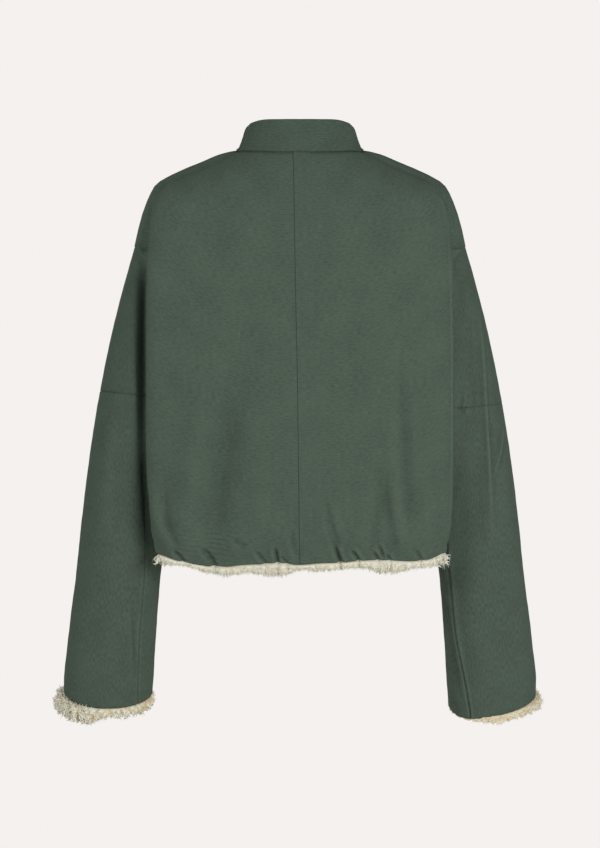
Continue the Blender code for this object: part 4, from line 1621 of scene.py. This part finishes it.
def hem_base(place, places, way):
    at = hem_stations(places, way)
    foot = at(0)[0]
    drop = read(HEM_DROP, foot[:, 0] if way > 0 else -0.8 * foot[:, 0])[0]
    section = round_section(HEM_SECTION, SECTION_POINTS)
    points = band_points(section, at, (drop - 2.2) / 8, np.ones(len(places)))
    up = section[:, 1][:, None]
    curls = lumps(points, 1, HEM_CURL) * smooth(-up / 4)
    points += at(0)[1] * (0.9 * curls)[..., None] + stacked(0, 0, -1.1 * curls)
    # A curl's head sets its strands' amount and reach, and the painted shade in the valleys.
    head = 0.6 + 0.4 * smooth((curls + 0.5) / 1.1)
    corner = smooth((np.abs(foot[:, 0]) - HEM_CORNER) / 8) * (way > 0)
    amount = smooth(-up / 1.5) * (0.2 + 0.8 * head) * (1 - 0.45 * corner)
    reach = (2.4 + 0.1 * drop + 4.5 * corner) * (0.75 + 0.5 * head)
    comb = stacked(0.55 * np.sign(foot[:, 0]) * corner, 0.5 * corner, -1.25 + 0.2 * corner)
    comb = np.broadcast_to(comb, points.shape)
    return band_mesh("pile_" + place, points, False, amount, reach, comb, head)


base = hem_base("hem_back", np.linspace(-HEM_END, HEM_END, 380), 1)
pile_pieces("hem_back", base, *BACK_LOCKS, BACK_SEED)
centre = float(place_at_x([HEM], 0.35, -1)[0, 0])
for number, (side, sign) in enumerate(SIDES.items()):
    base = hem_base("hem_" + side, np.linspace(centre, HEM_END, 110) * sign, -1)
    pile_pieces("hem_" + side, base, *FRONT_LOCKS, FRONT_SEED + number)

# %% [markdown]
# ## Pile on the cuffs
#
# Round a cuff the pile is thicker and curls up over the cloth's edge, most of all on the outer
# side of the arm. The amounts are read from the angle round the cuff.

# %% Cuff pile
CUFF_SECTION = (
    # out from the cloth's face, height over its edge
    (-10, 20), (-4.0, 20), (-3.6, 1.4), (-2.0, -0.7), (0.5, -1.6), (1.7, -4), (2.0, -9),
    (0.8, -12.5), (-3.5, -13), (-8, -10), (-10, -4),
)
CUFF_FORM = {
    # degrees round from the outer side through the back, how far the pile hangs below the
    # cloth, and how far it stands out, in half sections
    "left": (
        (0, 22, 4.6), (35, 24, 2.9), (75, 21, 1.1), (95, 13.5, 0.4), (114, 14, 0.3),
        (131, 15, 0.3), (147, 17, 0.4), (180, 14, 0.8), (225, 14, 0.8), (270, 16, 1.2),
        (320, 19, 3.0), (360, 22, 4.6),
    ),
    "right": (
        (0, 21, 3.4), (24, 15, 2.0), (48, 14, 0.9), (66, 12, 0.4), (85, 13, 0.3), (105, 9, 0.1),
        (122, 5, 0.1), (140, 3.2, 0.1), (200, 4, 0.1), (235, 9, 0.4), (280, 12, 1.0),
        (325, 17, 2.4), (360, 21, 3.4),
    ),
}
CUFF_HAIR = 6.5
CUFF_CURL = 8.0
CUFF_LOCKS = {
    # strands to a square metre, thickness, curl, bend
    "left": (2.5e5, 1.75, 1.25, 2.6),
    "right": (4.2e5, 0.9, 0.7, 1.3),
}
# How light the curls' heads are, and how much of it the valleys lack: this sets the painted shade
# between the curls, and how many strands grow there and how long they are.
CURL_HEADS_AND_SHADE = {"left": (1.0, 1.0), "right": (0.6, 0.5)}
CUFF_SEED = 31


def cuff_stations(side, angles):
    mirror = np.array((SIDES[side], 1, 1))

    def at(up):
        heights = np.array(CUFF[side], float) + up
        foot = sleeve_ring(heights, angles)
        past, after = (sleeve_ring(heights, angles + step) for step in (-SLOPE_STEP, SLOPE_STEP))
        normal = np.cross(foot - sleeve_ring(heights + 2, angles), after - past)
        foot = foot + cuff_ease(side, angles)
        return foot * mirror, normal / np.linalg.norm(normal, axis=-1, keepdims=True) * mirror

    return at


def cuff_base(side):
    angles = np.linspace(0, 2 * math.pi, 200, endpoint=False)
    drop, flare = read(CUFF_FORM[side], np.degrees(angles))
    section = round_section(CUFF_SECTION, SECTION_POINTS)
    at = cuff_stations(side, angles)
    points = band_points(section, at, np.maximum(drop - 3, 1) / 13, flare)
    up = section[:, 1][:, None]
    shown = smooth(-up / 2)
    out = at(0)[1]
    thick = smooth(flare / 3)
    curls = lumps(points, 1, CUFF_CURL) * shown
    points += (curls * (0.9 + 2.0 * thick))[..., None] * out + stacked(0, 0, -2.2 * curls)
    tone, lack = CURL_HEADS_AND_SHADE[side]
    head = tone - lack * (1 - smooth((curls + 0.5) / 1.1))
    amount = smooth(-up / 1.5) * smooth((drop - 4) / 4) * (0.2 + 0.8 * head)
    reach = (2.4 + 0.09 * drop + 0.6 * thick) * (0.7 + 0.6 * head)
    curls_up = thick * smooth((up + 8) / 5)
    comb = stacked(0, 0, -1.1 + 2.5 * curls_up) + out[None] * (0.3 * thick)[None, :, None]
    return band_mesh("pile_cuff_" + side, points, True, amount, reach, comb, head)


for number, side in enumerate(SIDES):
    density, thick, curl, bend = CUFF_LOCKS[side]
    locks = density, CUFF_HAIR / thick, curl, bend, CUFF_SEED + number
    pile_pieces("cuff_" + side, cuff_base(side), *locks)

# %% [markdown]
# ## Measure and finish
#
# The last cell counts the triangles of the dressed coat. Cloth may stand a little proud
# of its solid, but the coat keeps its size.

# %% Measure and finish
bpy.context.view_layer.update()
total = sum(len(p.vertices) - 2 for piece in pieces_made for p in piece.data.polygons)
print("triangles in all:", total)
